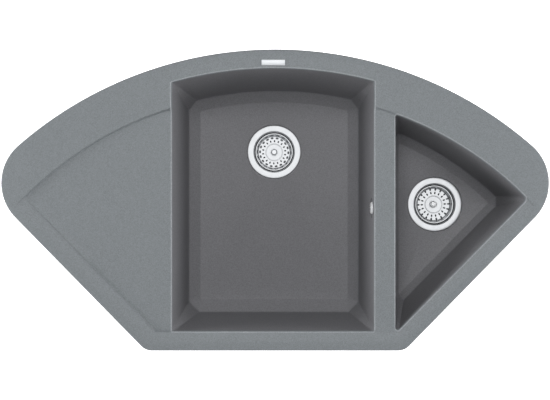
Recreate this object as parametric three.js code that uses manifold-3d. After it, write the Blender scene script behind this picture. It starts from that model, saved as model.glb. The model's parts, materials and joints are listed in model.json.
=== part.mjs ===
// Corner kitchen sink with one and a half bowls, a drainer and its waste fittings.
// Millimetres, +Z up. z = 0 is the worktop surface that the rim rests on. Inside the
// group, y runs from the sink's front edge to the corner of the room behind it, and x
// runs along that front edge from its middle.

import * as THREE from 'three';
import { mergeVertices } from 'three/addons/utils/BufferGeometryUtils.js';
import Module from 'manifold-3d';

const wasm = await Module();
wasm.setup();

// ---- Driving dimensions: the moulded bowl unit, seen from above ----

const gap = 0.3;                 // between pieces that touch
const bond = 1;                  // joined solids reach this far into each other
const clear = 1;                 // a cut reaches this far past the face that it opens
const slip = 0.6;                // around a pipe or thread that goes into a socket or nut
const wall = 9;                  // moulded composite
const deckTop = 10;              // rim and deck above the worktop
const edgeRound = 2;             // softened outer top edge
const bowlBackY = 547.1;         // back of the main bowl's rim, at x = 0
const deckBehind = 36.3;         // from there to the outer back edge
const backR = 758;               // the outer back edge is an arc
const backCentreY = bowlBackY + deckBehind - backR;
const frontHalf = 250.8;         // front edge, to where the slanted sides begin
const sideAngle = THREE.MathUtils.degToRad(45.58);
const endR = 96.4;               // round ends between side and back
const cornerR = 30;              // front corners
const creaseFront = 17.6;        // flat outer band, up to the crease
const creaseLeft = 16.4;
const creaseRight = 14.5;
const bandFront = 37.2;          // outer edge to bowl or drainer
const bandLeft = 39.4;
const bandRight = 35.8;
const bandDrop = 3;              // the inner band falls this far from crease to bowl
const facetPast = 2;             // the slope behind the main bowl ends just past its rim
const deckWidth = 84.5;          // from the outer back edge to the raised deck's front edge
const stepR = 683.1;             // that front edge is an arc too
const stepCentreY = backCentreY + backR - deckWidth - stepR;
const creaseBack = 15.2;         // from the outer back edge to the crease behind the bowl
const creaseBackR = 761;
const creaseBackCentreY = backCentreY + backR - creaseBack - creaseBackR;
const drainerHigh = 5.5;         // drainer surface at its far end
const drainerLow = 3;            // drainer surface where it spills into the bowl
const drainerPlate = 6;          // drainer underside below the worktop
const dividerTop = 5;            // strip between the bowls
const dividerPlate = 5;          // its underside below the worktop
const skirtInset = 24;           // rib that drops into the worktop cut-out
const skirtWall = 6;
const skirtDepth = 12;
const seatInset = 5;             // from the front edge to the middle of the seat face

// ---- Driving dimensions: bowls, as levels from rim to floor ----

const backEdge = (y, radius) => ({ backY: y - radius, backR: radius });
const rimLevel = deckTop - bandDrop;
const mainDepth = 169;           // from rim to the foot of the walls
const besideMain = { left: 50, right: 58.5 };   // in x, to the ends of the front edge
const mainRim = {
  z: rimLevel, left: frontHalf - besideMain.left, right: frontHalf - besideMain.right,
  front: bandFront,
  ...backEdge(bowlBackY, 743.7), corner: 1.5,
};
const mainWallLean = { left: 17.7, right: 14.7, front: 16.5, back: 23.2 };
const mainFoot = {
  z: rimLevel - mainDepth, left: mainRim.left - mainWallLean.left,
  right: mainRim.right - mainWallLean.right, front: mainRim.front + mainWallLean.front,
  ...backEdge(bowlBackY - mainWallLean.back, 698.9), corner: 21,
};
const mainBorder = { left: 23.5, right: 22.7, front: 26.2, back: 23.2, fall: 16 };
const mainCrease = {
  z: mainFoot.z - mainBorder.fall, left: mainFoot.left - mainBorder.left,
  right: mainFoot.right - mainBorder.right, front: mainFoot.front + mainBorder.front,
  ...backEdge(bowlBackY - mainWallLean.back - mainBorder.back, 675.7), corner: 2,
};
const dividerWidth = 41;         // between the rims of the two bowls
const halfDepth = 140;
const halfRim = {
  z: rimLevel, left: mainRim.right + dividerWidth, side: bandRight,
  arcR: stepR, apexCut: 10.7, apexRise: 0, cornerCut: 4.2,
};
const halfWallLean = { left: 9, side: 9, arc: 14.9 };
const halfFoot = {
  z: rimLevel - halfDepth, left: halfRim.left + halfWallLean.left,
  side: halfRim.side + halfWallLean.side, arcR: stepR - halfWallLean.arc,
  apexCut: 26.9, apexRise: 13.4, cornerCut: 10.7,
};
const halfBorder = { left: 17.7, side: 14, arc: 18.2, fall: 14 };
const halfCrease = {
  z: halfFoot.z - halfBorder.fall, left: halfFoot.left + halfBorder.left,
  side: halfFoot.side + halfBorder.side, arcR: halfFoot.arcR - halfBorder.arc,
  apexCut: 2.7, apexRise: 2, cornerCut: 2,
};

// ---- Driving dimensions: wastes, overflow, pipes and clips ----

const mainDrain = { x: -2, y: bowlBackY - 152.1, z: mainCrease.z - 7 };
const halfDrain = { x: halfRim.left + 103.6, y: 282.4, z: halfCrease.z - 5 };
const drainHoleR = 45.5;
const flangeR = 57;
const recessDepth = 2.5;         // the flange lies in a shallow recess in the floor
const flangeRoom = 1;            // that recess is this much larger in radius
const floorDish = 5;             // level ring of floor around it
const flangeSealT = 1.2;
const sheet = 1.5;               // stainless sheet of the cups
const cupR = 42;                 // inside of the cup
const cupDepth = 25;
const basketR = 40.2;
const basketDepth = 14;
const basketSheet = 1.2;
const plugR = 30;                // rubber seal under the basket
const postR = 4;
const knobR = 6.9;
const knobH = 8.5;
const screwR = 3;                // centre screw of each waste
const housingWall = 3;
const housingDepth = 34;         // straight part of the waste housing
const housingTaper = 12;         // below it, down to the thread
const housingFlange = 7;         // width of its rim under the bowl
const hubClear = 3;              // from the cup down to the hub that takes the screw
const hubDepth = 14;
const spokeT = 3;
const housingSealT = 2.4;
const pipeR = 20;                // 40 mm waste pipe
const pipeWall = 3;
const threadR = 24;              // 1 1/2 inch pipe thread
const threadLength = 16;
const nutWall = 5;
const nutLip = 3.5;
const washerT = 2;
const collarT = 2.5;
const teeShoulder = 4;           // room between a nut and the tee's branch
const branchFall = 0.02;         // slope of the pipe between the wastes
const bendR = 40;
const socketReach = 52;          // from the tee's axis to the mouth of its branch
const trapR = 35;
const trapLength = 92;
const trapInsert = 13;           // the tee reaches this far into the trap
const trapCupDepth = 34;
const trapOutletDrop = 50;
const trapOutletReach = 62;
const outletReach = 185;         // from the trap's axis to the end of the outlet pipe

const overflowY = 276;
const overflowZ = -22;
const overflowHoleR = 11;
const overflowCapR = 12;
const capRoom = 1;               // the cap's round seat is this much larger in radius
const capHeight = 7.6;
const recessHalf = { depth: 5.5, along: 20, up: 15 };
const bossR = 17;                // flat pad behind the overflow
const bossProud = 2.5;
const hoseR = 10.5;
const hoseWall = 2.5;
const hoseDrop = 36;             // from the overflow's axis to the top of the hose
const hosePortDrop = 26;         // from the bowl floor to the hose port
const hosePortReach = 66;
const hoseNutWall = 3;
const hoseNutGrip = 10;

const sealWidth = 8;
const sealInset = 10;
const sealT = 1.7;
const tapHoleR = 17.5;           // 35 mm tap hole, moulded as a blind recess below
const tapSkin = 4;
const tapInset = 40;             // from the back edge to the middle of the tap hole
const tapX = 239.67;             // from the sink's middle

const badge = { x: -3.5, width: 45.5, depth: 10.7, height: 1.2 };

const worktopT = 38;
const clipInset = 38;            // from the outer edge to the clip's screw
const clipBossR = 8;
const clipBossDepth = 26;
const clipScrewR = 2.8;
const clipScrewTop = -4.3;
const clipSheet = 2.5;
const clipWidth = 16;
const clipReach = 25;
const clipLip = 4;
const leftClipsAt = [70, 170, 270];   // y of the clips along the left side
const clipsFromTap = { left: 50.33, right: 35.33 };   // in x, along the back
const clipsFromEnd = { left: -10.96, right: [79.04, -0.96] };   // in x, from the round ends' centres

// ---- Number of facets ----

const backFacets = 24;
const endFacets = 8;
const cornerFacets = 3;
const bowlFacets = { front: 4, side: 5, back: 8, arc: 7 };
const drainerFacets = 10;
const stepFacets = 24;
const roundFacets = 24;
const pipeFacets = 16;
const smallFacets = 8;

// ---- Solid helpers ----

// A closed solid whose faces point out, made from any closed three.js geometry.
function toManifold(geometry) {
  const bare = geometry.clone();
  for (const name of Object.keys(bare.attributes)) {
    if (name !== 'position') bare.deleteAttribute(name);
  }
  const merged = mergeVertices(bare, 1e-4);
  const position = merged.attributes.position;
  const triVerts = Uint32Array.from(merged.index.array);
  if (signedVolume(position, triVerts) < 0) {
    for (let i = 0; i < triVerts.length; i += 3) {
      [triVerts[i + 1], triVerts[i + 2]] = [triVerts[i + 2], triVerts[i + 1]];
    }
  }
  const vertProperties = Float32Array.from(position.array);
  return new wasm.Manifold(new wasm.Mesh({ numProp: 3, vertProperties, triVerts }));
}

function signedVolume(position, index) {
  const [a, b, c] = [new THREE.Vector3(), new THREE.Vector3(), new THREE.Vector3()];
  let volume = 0;
  for (let i = 0; i < index.length; i += 3) {
    a.fromBufferAttribute(position, index[i]);
    b.fromBufferAttribute(position, index[i + 1]);
    c.fromBufferAttribute(position, index[i + 2]);
    volume += a.dot(b.cross(c)) / 6;
  }
  return volume;
}

function toGeometry(solid) {
  const { numProp, vertProperties, triVerts } = solid.getMesh();
  const position = new Float32Array((vertProperties.length / numProp) * 3);
  for (let v = 0; v < position.length / 3; v += 1) {
    position.set(vertProperties.subarray(v * numProp, v * numProp + 3), v * 3);
  }
  const geometry = new THREE.BufferGeometry();
  geometry.setAttribute('position', new THREE.BufferAttribute(position, 3));
  geometry.setIndex(new THREE.BufferAttribute(Uint32Array.from(triVerts), 1));
  geometry.computeVertexNormals();
  return geometry;
}

const join = (...parts) => toGeometry(parts.map(toManifold).reduce((a, b) => a.add(b)));
const cut = (base, ...tools) => toGeometry(
  tools.map(toManifold).reduce((a, b) => a.subtract(b), toManifold(base)),
);
const meet = (a, b) => toGeometry(toManifold(a).intersect(toManifold(b)));
const tidy = (part) => toGeometry(toManifold(part));

// ---- Shape helpers ----

const point = (x, y) => new THREE.Vector2(x, y);

function arc(centreX, centreY, radius, from, to, facets) {
  const points = [];
  for (let i = 0; i <= facets; i += 1) {
    const angle = from + ((to - from) * i) / facets;
    points.push(point(centreX + radius * Math.cos(angle), centreY + radius * Math.sin(angle)));
  }
  return points;
}

function line(from, to, facets) {
  const points = [];
  for (let i = 0; i <= facets; i += 1) points.push(from.clone().lerp(to, i / facets));
  return points;
}

function prism(points, bottom, top) {
  const shape = new THREE.Shape(points);
  const solid = new THREE.ExtrudeGeometry(shape, { depth: top - bottom, bevelEnabled: false });
  return solid.translate(0, 0, bottom);
}

const level = (points, z) => points.map((p) => new THREE.Vector3(p.x, p.y, z));

// A solid through rings of as many points each, from the lowest ring to the highest.
function loft(rings) {
  const count = rings[0].length;
  const position = rings.flat().flatMap((p) => [p.x, p.y, p.z]);
  const index = [];
  for (let r = 0; r + 1 < rings.length; r += 1) {
    for (let i = 0; i < count; i += 1) {
      const [a, b] = [r * count + i, r * count + ((i + 1) % count)];
      index.push(a, b, b + count, a, b + count, a + count);
    }
  }
  const last = (rings.length - 1) * count;
  for (const [a, b, c] of THREE.ShapeUtils.triangulateShape(rings[0], [])) index.push(a, c, b);
  for (const [a, b, c] of THREE.ShapeUtils.triangulateShape(rings.at(-1), [])) {
    index.push(last + a, last + b, last + c);
  }
  const geometry = new THREE.BufferGeometry();
  geometry.setAttribute('position', new THREE.Float32BufferAttribute(position, 3));
  geometry.setIndex(index);
  return geometry;
}

// What lies above a strip that runs between two lines of points, up to a given height.
function aboveStrip(lineA, zA, lineB, zB, top) {
  const rings = lineA.map((a, i) => [
    new THREE.Vector3(a.x, a.y, zA),
    new THREE.Vector3(lineB[i].x, lineB[i].y, zB),
    new THREE.Vector3(lineB[i].x, lineB[i].y, top),
    new THREE.Vector3(a.x, a.y, top),
  ]);
  const position = rings.flat().flatMap((p) => [p.x, p.y, p.z]);
  const index = [];
  for (let r = 0; r + 1 < rings.length; r += 1) {
    for (let i = 0; i < 4; i += 1) {
      const [a, b] = [r * 4 + i, r * 4 + ((i + 1) % 4)];
      index.push(a, b, b + 4, a, b + 4, a + 4);
    }
  }
  const last = (rings.length - 1) * 4;
  index.push(0, 3, 2, 0, 2, 1, last, last + 1, last + 2, last, last + 2, last + 3);
  const geometry = new THREE.BufferGeometry();
  geometry.setAttribute('position', new THREE.Float32BufferAttribute(position, 3));
  geometry.setIndex(index);
  return geometry;
}

// A closed profile of [radius, height] turned about the z axis.
function turned(profile, facets = roundFacets) {
  const points = profile.map(([radius, height]) => point(radius, height));
  points.push(points[0].clone());
  return new THREE.LatheGeometry(points, facets).rotateX(Math.PI / 2);
}

const tube = (inner, outer, bottom, top, facets = roundFacets) => turned(
  [[inner, bottom], [outer, bottom], [outer, top], [inner, top]],
  facets,
);

function rod(radius, bottom, top, facets = smallFacets) {
  const solid = new THREE.CylinderGeometry(radius, radius, top - bottom, facets);
  return solid.rotateX(Math.PI / 2).translate(0, 0, (top + bottom) / 2);
}

function block(lowX, highX, lowY, highY, lowZ, highZ) {
  const solid = new THREE.BoxGeometry(highX - lowX, highY - lowY, highZ - lowZ);
  return solid.translate((lowX + highX) / 2, (lowY + highY) / 2, (lowZ + highZ) / 2);
}

// Turns a solid made along +Z so that it lies along a heading, at a height, with a slope.
function lay(solid, heading, z, slope = 0) {
  return solid.rotateY(Math.PI / 2 - Math.atan(slope)).rotateZ(heading).translate(0, 0, z);
}

// A route of straight legs with rounded bends, with a station wherever the tube needs one.
class PipeRoute extends THREE.Curve {
  constructor(corners, radius, bendFacets = 6) {
    super();
    this.stations = [];
    this.headings = [];
    corners.forEach((corner, i) => {
      const before = corners[i - 1] && corner.clone().sub(corners[i - 1]).normalize();
      const after = corners[i + 1] && corners[i + 1].clone().sub(corner).normalize();
      if (before && after) this.addBend(corner, before, after, radius, bendFacets);
      else this.addStation(corner, before || after);
    });
  }

  addStation(place, heading) {
    this.stations.push(place);
    this.headings.push(heading);
  }

  addBend(corner, before, after, radius, facets) {
    const turn = before.angleTo(after);
    const start = corner.clone().addScaledVector(before, -radius * Math.tan(turn / 2));
    const inward = after.clone().addScaledVector(before, -before.dot(after)).normalize();
    for (let k = 0; k <= facets; k += 1) {
      const angle = (turn * k) / facets;
      const place = start.clone()
        .addScaledVector(before, radius * Math.sin(angle))
        .addScaledVector(inward, radius * (1 - Math.cos(angle)));
      const heading = before.clone().multiplyScalar(Math.cos(angle))
        .addScaledVector(inward, Math.sin(angle));
      this.addStation(place, heading);
    }
  }

  getPoint(t, target = new THREE.Vector3()) {
    const s = t * (this.stations.length - 1);
    const i = Math.min(Math.floor(s), this.stations.length - 2);
    return target.copy(this.stations[i]).lerp(this.stations[i + 1], s - i);
  }

  getSpacedPoints(divisions) {
    return this.getPoints(divisions);
  }

  getTangentAt(u, target = new THREE.Vector3()) {
    return target.copy(this.headings[Math.round(u * (this.headings.length - 1))]);
  }
}

function pipe(route, outer, inner, facets = pipeFacets) {
  const shape = new THREE.Shape(arc(0, 0, outer, 0, 2 * Math.PI, facets).slice(0, -1));
  shape.holes.push(new THREE.Path(arc(0, 0, inner, 0, 2 * Math.PI, facets).slice(0, -1)));
  return new THREE.ExtrudeGeometry(shape, { steps: route.stations.length - 1, extrudePath: route });
}

// ---- Plan of the sink ----

// x of a line parallel to the right side, this far inside it, at a given y.
const sideX = (y, inset) => frontHalf + y / Math.tan(sideAngle) - inset / Math.sin(sideAngle);
const sideY = (x, inset) => (x - frontHalf + inset / Math.sin(sideAngle)) * Math.tan(sideAngle);
const mirrored = (points) => points.map((p) => point(-p.x, p.y)).reverse();

// Where a line parallel to the right side, this far inside it, meets an arc about the y axis.
function sideMeetsArc(inset, centreY, radius) {
  const along = point(Math.cos(sideAngle), Math.sin(sideAngle));
  const base = point(sideX(0, inset), -centreY);
  const half = base.dot(along);
  const reach = -half + Math.sqrt(half ** 2 - base.lengthSq() + radius ** 2);
  base.addScaledVector(along, reach);
  return point(base.x, base.y + centreY);
}

// The outer edge, moved inwards by an inset.
function outlineAt(inset) {
  const endCentre = sideMeetsArc(endR, backCentreY, backR - endR);
  const touch = point(endCentre.x, endCentre.y - backCentreY).angle();
  const corner = Math.max(cornerR, inset + 1);
  const cornerX = frontHalf - corner * Math.tan(sideAngle / 2);
  const quarter = Math.PI / 2;
  const right = [
    ...arc(cornerX, corner, corner - inset, -quarter, sideAngle - quarter, cornerFacets),
    ...arc(endCentre.x, endCentre.y, endR - inset, sideAngle - quarter, touch, endFacets),
  ];
  const back = arc(0, backCentreY, backR - inset, touch, Math.PI - touch, backFacets);
  return [...right, ...back.slice(1, -1), ...mirrored(right)];
}

const onStep = (x, radius = stepR) => stepCentreY + Math.sqrt(radius ** 2 - x ** 2);

function stepArc(fromX, toX, facets, radius = stepR) {
  const angle = (x) => Math.acos(x / radius);
  return arc(0, stepCentreY, radius, angle(fromX), angle(toX), facets);
}

// Between two levels of a bowl, or beyond them.
function levelBetween(upper, lower, z) {
  const t = (upper.z - z) / (upper.z - lower.z);
  const between = {};
  for (const key of Object.keys(upper)) between[key] = upper[key] + (lower[key] - upper[key]) * t;
  return between;
}

function mainRing(size, grow = 0) {
  const { corner } = size;
  const [left, right, front] = [-size.left - grow, size.right + grow, size.front - grow];
  const radius = size.backR + grow;
  const onBack = (x) => size.backY + Math.sqrt(radius ** 2 - x ** 2);
  const angle = (x) => Math.acos(x / radius);
  const [start, end] = [angle(right - corner), angle(left + corner)];
  return [
    ...line(point(left + corner, front), point(right - corner, front), bowlFacets.front),
    ...line(point(right, front + corner), point(right, onBack(right) - corner), bowlFacets.side),
    ...arc(0, size.backY, radius, start, end, bowlFacets.back),
    ...line(point(left, onBack(left) - corner), point(left, front + corner), bowlFacets.side),
  ];
}

function halfRing(size, grow = 0) {
  const [left, side, radius] = [size.left - grow, size.side - grow, size.arcR + grow];
  const apex = sideY(left, side) + size.apexCut;
  const leftEnd = point(left, apex + size.apexRise);
  const right = sideMeetsArc(side, stepCentreY, radius).x - size.cornerCut;
  return [
    leftEnd,
    ...line(point(sideX(apex, side), apex), point(right, sideY(right, side)), bowlFacets.side),
    ...stepArc(right, left, bowlFacets.arc, radius),
    ...line(point(left, onStep(left, radius)), leftEnd, bowlFacets.side).slice(1, -1),
  ];
}

// The same number of points on a circle about a drain, each in line with a ring's point.
function circleLike(ring, drain, radius) {
  return ring.map((p) => {
    const angle = Math.atan2(p.y - drain.y, p.x - drain.x);
    return point(drain.x + radius * Math.cos(angle), drain.y + radius * Math.sin(angle));
  });
}

function bowlHollow(ringOf, rim, foot, crease, drain) {
  const inner = ringOf(crease);
  return loft([
    level(circleLike(inner, drain, flangeR + floorDish), drain.z),
    level(inner, crease.z),
    level(ringOf(foot), foot.z),
    level(ringOf(levelBetween(rim, foot, deckTop + clear)), deckTop + clear),
  ]);
}

function bowlShell(ringOf, rim, foot, crease, drain) {
  const under = drain.z - recessDepth - wall;
  const inner = ringOf(crease, wall / 2);
  return loft([
    level(circleLike(inner, drain, flangeR + wall), under),
    level(inner, crease.z - wall),
    level(ringOf(foot, wall), foot.z - wall / 2),
    level(ringOf(levelBetween(rim, foot, bond), wall), bond),
  ]);
}

// ---- Clip places: position and the direction towards the worktop's edge ----

const endX = sideMeetsArc(endR, backCentreY, backR - endR).x;
const backClipsAt = [
  clipsFromEnd.left - endX, -clipsFromTap.left - tapX, tapX + clipsFromTap.right,
  ...clipsFromEnd.right.map((inwards) => endX - inwards),
];
const clipSpots = [
  ...leftClipsAt.map((y) => ({
    x: -sideX(y, clipInset), y, heading: Math.PI * 1.5 - sideAngle,
  })),
  ...backClipsAt.map((x) => {
    const heading = Math.acos(x / (backR - clipInset));
    return { x, y: backCentreY + (backR - clipInset) * Math.sin(heading), heading };
  }),
];

// ---- The moulded bowl unit ----

const spillOver = 5;             // the drainer's cut runs on over the main bowl's rim

function drainerShape(grow = 0) {
  const corner = point(-sideX(bandFront, bandLeft), bandFront);
  const spill = point(-mainRim.left + spillOver, bandFront);
  const farX = -sideMeetsArc(bandLeft - grow, stepCentreY, stepR + grow).x;
  return [
    point(corner.x - grow, corner.y - grow),
    point(spill.x, spill.y - grow),
    ...stepArc(spill.x, farX, drainerFacets, stepR + grow),
  ];
}

function drainerCut() {
  const run = sideMeetsArc(bandLeft, stepCentreY, stepR).x - mainRim.left;
  const tilt = Math.atan((drainerHigh - drainerLow) / run);
  const above = block(-run * 2, run * 2, -deckTop, 2 * backR, 0, 4 * deckTop);
  above.rotateY(tilt).translate(-mainRim.left, 0, drainerLow);
  return meet(above, prism(drainerShape(), 0, 2 * deckTop));
}

function dividerShape() {
  const overMain = mainRim.right - spillOver;
  const alongSide = bandFront + dividerWidth / 2;
  return [
    point(overMain, bandFront),
    point(sideX(bandFront, bandRight), bandFront),
    point(sideX(alongSide, bandRight), alongSide),
    ...stepArc(halfRim.left + spillOver, overMain, 3),
  ];
}

// The inner band slopes down from the crease towards the bowls, in front of the step.
function bandCut() {
  const farY = backR / 2;
  const through = (front, left, right) => [
    point(-sideX(farY, left), farY),
    point(-sideX(front, left), front),
    point(sideX(front, right), front),
    point(sideX(farY, right), farY),
  ];
  const beyond = 2;
  const reach = (crease, band) => crease + (band - crease) * beyond;
  const inner = through(
    reach(creaseFront, bandFront),
    reach(creaseLeft, bandLeft),
    reach(creaseRight, bandRight),
  );
  const slope = aboveStrip(
    through(creaseFront, creaseLeft, creaseRight), deckTop,
    inner, deckTop - bandDrop * beyond, 3 * deckTop,
  );
  const wide = frontHalf * 2.1;
  const ahead = [...stepArc(wide, -wide, stepFacets), point(-backR, 0), point(backR, 0)];
  return meet(slope, prism(ahead, 0, 4 * deckTop));
}

// Behind the main bowl the deck slopes down from a crease to the bowl.
function backFacetCut() {
  const [left, right] = [-mainRim.left - 2, mainRim.right + 2];
  const lineOn = (centreY, radius) => arc(
    0, centreY, radius, Math.acos(left / radius), Math.acos(right / radius), 10,
  );
  return aboveStrip(
    lineOn(mainRim.backY, mainRim.backR - facetPast), deckTop - bandDrop,
    lineOn(creaseBackCentreY, creaseBackR), deckTop, 2 * deckTop,
  );
}

const overflowWallX = levelBetween(mainRim, mainFoot, overflowZ).right;
const overflowSeatX = overflowWallX + recessHalf.depth;
const overflowPadX = overflowWallX + wall + bossProud;
const atOverflow = (solid) => solid.rotateY(Math.PI / 2).translate(0, overflowY, overflowZ);

function overflowRecess() {
  const hollow = new THREE.SphereGeometry(1, 12, 8);
  hollow.scale(recessHalf.depth, recessHalf.along, recessHalf.up);
  return hollow.translate(overflowWallX, overflowY, overflowZ);
}

const tapPlace = (side) => (
  point(side * tapX, backCentreY + Math.sqrt((backR - tapInset) ** 2 - tapX ** 2))
);

function drainCuts(drain) {
  const { x, y, z } = drain;
  return [
    rod(flangeR + flangeRoom, z - recessDepth, z + clear, roundFacets).translate(x, y, 0),
    rod(drainHoleR, z - recessDepth - wall - clear, z, roundFacets).translate(x, y, 0),
  ];
}

function bowlUnit() {
  const rim = loft([
    level(outlineAt(0), 0),
    level(outlineAt(0), deckTop - edgeRound),
    level(outlineAt(edgeRound), deckTop),
  ]);
  const skirt = cut(
    prism(outlineAt(skirtInset), -skirtDepth, bond),
    prism(outlineAt(skirtInset + skirtWall), -skirtDepth - clear, 0),
  );
  const dividerLow = block(
    mainRim.right - bond, halfRim.left + bond,
    bandFront, onStep(halfRim.left), -dividerPlate, bond,
  );
  const bosses = clipSpots.map(({ x, y }) => (
    rod(clipBossR, -clipBossDepth, bond).translate(x, y, 0)
  ));
  const whole = join(
    rim, skirt, prism(drainerShape(wall), -drainerPlate, bond), dividerLow, ...bosses,
    bowlShell(mainRing, mainRim, mainFoot, mainCrease, mainDrain),
    bowlShell(halfRing, halfRim, halfFoot, halfCrease, halfDrain),
    atOverflow(rod(bossR, overflowWallX, overflowPadX, pipeFacets)),
  );
  const sealGroove = cut(
    prism(outlineAt(sealInset), -clear, sealT + gap),
    prism(outlineAt(sealInset + sealWidth), -2 * clear, sealT + clear),
  );
  const screwHoles = clipSpots.map(({ x, y }) => (
    rod(clipScrewR + gap, -clipBossDepth - clear, clipScrewTop + gap).translate(x, y, 0)
  ));
  const tapRecesses = [-1, 1].map((side) => {
    const place = tapPlace(side);
    return rod(tapHoleR, -clear, deckTop - tapSkin, pipeFacets).translate(place.x, place.y, 0);
  });
  return cut(
    whole, bandCut(), backFacetCut(), drainerCut(),
    prism(dividerShape(), dividerTop, 2 * deckTop),
    bowlHollow(mainRing, mainRim, mainFoot, mainCrease, mainDrain),
    bowlHollow(halfRing, halfRim, halfFoot, halfCrease, halfDrain),
    ...drainCuts(mainDrain), ...drainCuts(halfDrain),
    overflowRecess(),
    atOverflow(rod(overflowCapR + capRoom, overflowWallX - wall, overflowSeatX, pipeFacets)),
    atOverflow(rod(overflowHoleR, overflowWallX - wall, overflowPadX + clear, pipeFacets)),
    sealGroove, ...screwHoles, ...tapRecesses,
  );
}

// ---- One basket waste, about its own drain: z = 0 is the bowl floor ----

const flangeLow = -recessDepth + gap + flangeSealT + gap;
const cupFloor = flangeLow - cupDepth;           // top of the cup's floor
const plugLow = cupFloor + gap;
const plugT = 6;
const basketLow = plugLow + plugT + gap;         // underside of the basket
const basketTop = basketLow + basketDepth;
const underBowl = -recessDepth - wall;
const housingTop = underBowl - gap - housingSealT - gap;
const housingStraight = housingTop - housingDepth;
const housingNeck = housingStraight - housingTaper;
const housingLow = housingNeck - threadLength;
const hubTop = cupFloor - sheet - hubClear;
const hubLow = hubTop - hubDepth;

function holesOnCircle(count, holeR, circleR, bottom, top) {
  return Array.from({ length: count }, (_, i) => {
    const angle = (2 * Math.PI * i) / count;
    const hole = rod(holeR, bottom, top, 5);
    return hole.translate(circleR * Math.cos(angle), circleR * Math.sin(angle), 0);
  });
}

function strainerCup() {
  const outer = cupR + sheet;
  const cup = turned([
    [screwR + gap, cupFloor - sheet],
    [outer - 3, cupFloor - sheet], [outer, cupFloor + 2], [outer, flangeLow],
    [flangeR, flangeLow], [flangeR, flangeLow + sheet * 0.6],
    [flangeR - 3, flangeLow + sheet], [cupR + 3, flangeLow + sheet], [cupR, flangeLow - 1],
    [cupR, cupFloor + 2.5], [cupR - 2.5, cupFloor], [screwR + gap, cupFloor],
  ]);
  const drainR = 5;
  const drainCircle = (plugR + postR) / 2 + 2;
  return cut(cup, ...holesOnCircle(6, drainR, drainCircle, cupFloor - sheet - 1, cupFloor + 1));
}

function wasteHousing(portHeading) {
  const outer = cupR + sheet + 1 + housingWall;
  const inner = outer - housingWall;
  const neckR = threadR - housingWall - 0.5;
  const shell = turned([
    [inner, housingTop], [drainHoleR + housingFlange, housingTop],
    [drainHoleR + housingFlange, housingTop - 3],
    [outer, housingTop - 4], [outer, housingStraight], [threadR, housingNeck],
    [threadR, housingLow], [neckR, housingLow], [neckR, housingNeck + 1],
    [inner, housingStraight + 1],
  ]);
  const hub = rod(screwR + spokeT, hubLow, hubTop);
  const spokes = [1, 3].map((eighths) => {
    const spoke = block(-outer, outer, -spokeT / 2, spokeT / 2, hubLow, hubTop);
    return spoke.rotateZ((eighths * Math.PI) / 4);
  });
  const insideOnly = rod(inner + bond, hubLow - clear, hubTop + clear, roundFacets);
  const parts = [shell, hub, meet(join(...spokes), insideOnly)];
  const cuts = [rod(screwR + gap, hubLow - clear, hubTop + clear)];
  if (portHeading !== undefined) {
    const towardsHose = (radius, from, to) => (
      lay(rod(radius, from, to, pipeFacets), portHeading, -hosePortDrop)
    );
    parts.push(towardsHose(hoseR, inner + bond, hosePortReach));
    cuts.push(towardsHose(hoseR - hoseWall, inner - housingWall, hosePortReach + clear));
  }
  return cut(join(...parts), ...cuts);
}

const clampScrew = () => turned([
  [0, hubLow - 2], [screwR, hubLow - 2], [screwR, cupFloor - sheet],
  [screwR, cupFloor + gap], [screwR + 3.2, cupFloor + gap], [screwR + 2.4, cupFloor + 2.3],
  [0, cupFloor + 2.3],
], smallFacets);

function basketDish() {
  const foot = basketR - 4;
  const dish = turned([
    [postR + gap, basketLow], [foot, basketLow], [basketR - 1.4, basketTop - 1.5],
    [basketR, basketTop - 1.2], [basketR, basketTop], [basketR - 2.2, basketTop],
    [foot - basketSheet, basketLow + basketSheet], [postR + gap, basketLow + basketSheet],
  ]);
  const slotR = 2.4;
  const slots = holesOnCircle(18, slotR, foot - 5, basketLow - 1, basketLow + basketSheet + 1);
  return cut(dish, ...slots);
}

const basketPlug = () => turned([
  [postR + gap, plugLow + plugT - 2.2], [postR + 5, plugLow + plugT - 2.2], [postR + 5, plugLow],
  [plugR, plugLow], [plugR - 1, plugLow + plugT - 1], [plugR - 2, plugLow + plugT],
  [postR + gap, plugLow + plugT],
]);

const plugWebLow = plugLow + plugT - 2.2;
const postTop = basketLow + basketSheet + 8;
const basketPost = () => turned([
  [0, plugWebLow - gap - 1.2], [postR + 3, plugWebLow - gap - 1.2], [postR + 3, plugWebLow - gap],
  [postR, plugWebLow - gap], [postR, postTop], [0, postTop],
], 16);

const knobLow = basketLow + basketSheet + 2;
const basketKnob = () => turned([
  [postR + gap, knobLow], [knobR - 1, knobLow], [knobR, knobLow + 2],
  [knobR, knobLow + knobH - 2.5], [knobR - 1.6, knobLow + knobH], [0, knobLow + knobH],
  [0, postTop + gap], [postR + gap, postTop + gap],
], 20);

// ---- Screwed pipe joints ----

// A coupling nut about +Z: it grips the thread below its lip, from -grip to 0.
function couplingNut(grip, grooveR, lipR) {
  return turned([
    [grooveR + slip, -grip], [grooveR + nutWall - 1, -grip], [grooveR + nutWall, 3 - grip],
    [grooveR + nutWall, nutLip - 1], [grooveR + nutWall - 1.5, nutLip], [lipR + slip, nutLip],
    [lipR + slip, 0], [grooveR + slip, 0],
  ], pipeFacets);
}

const upsideDown = (solid) => solid.rotateX(Math.PI);

// The joint below a waste housing: nut and washer, for a pipe with a collar.
const tailWasherTop = housingLow - gap;
const tailCollarTop = tailWasherTop - washerT - gap;
const tailNutLip = tailCollarTop - collarT - gap;
const tailWasher = () => tube(pipeR + gap, threadR - gap, tailWasherTop - washerT, tailWasherTop);
const tailNut = () => upsideDown(
  couplingNut(threadLength - 2 - tailNutLip + housingLow, threadR, pipeR),
).translate(0, 0, tailNutLip);

// ---- Pipes between the wastes and the trap ----

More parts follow.
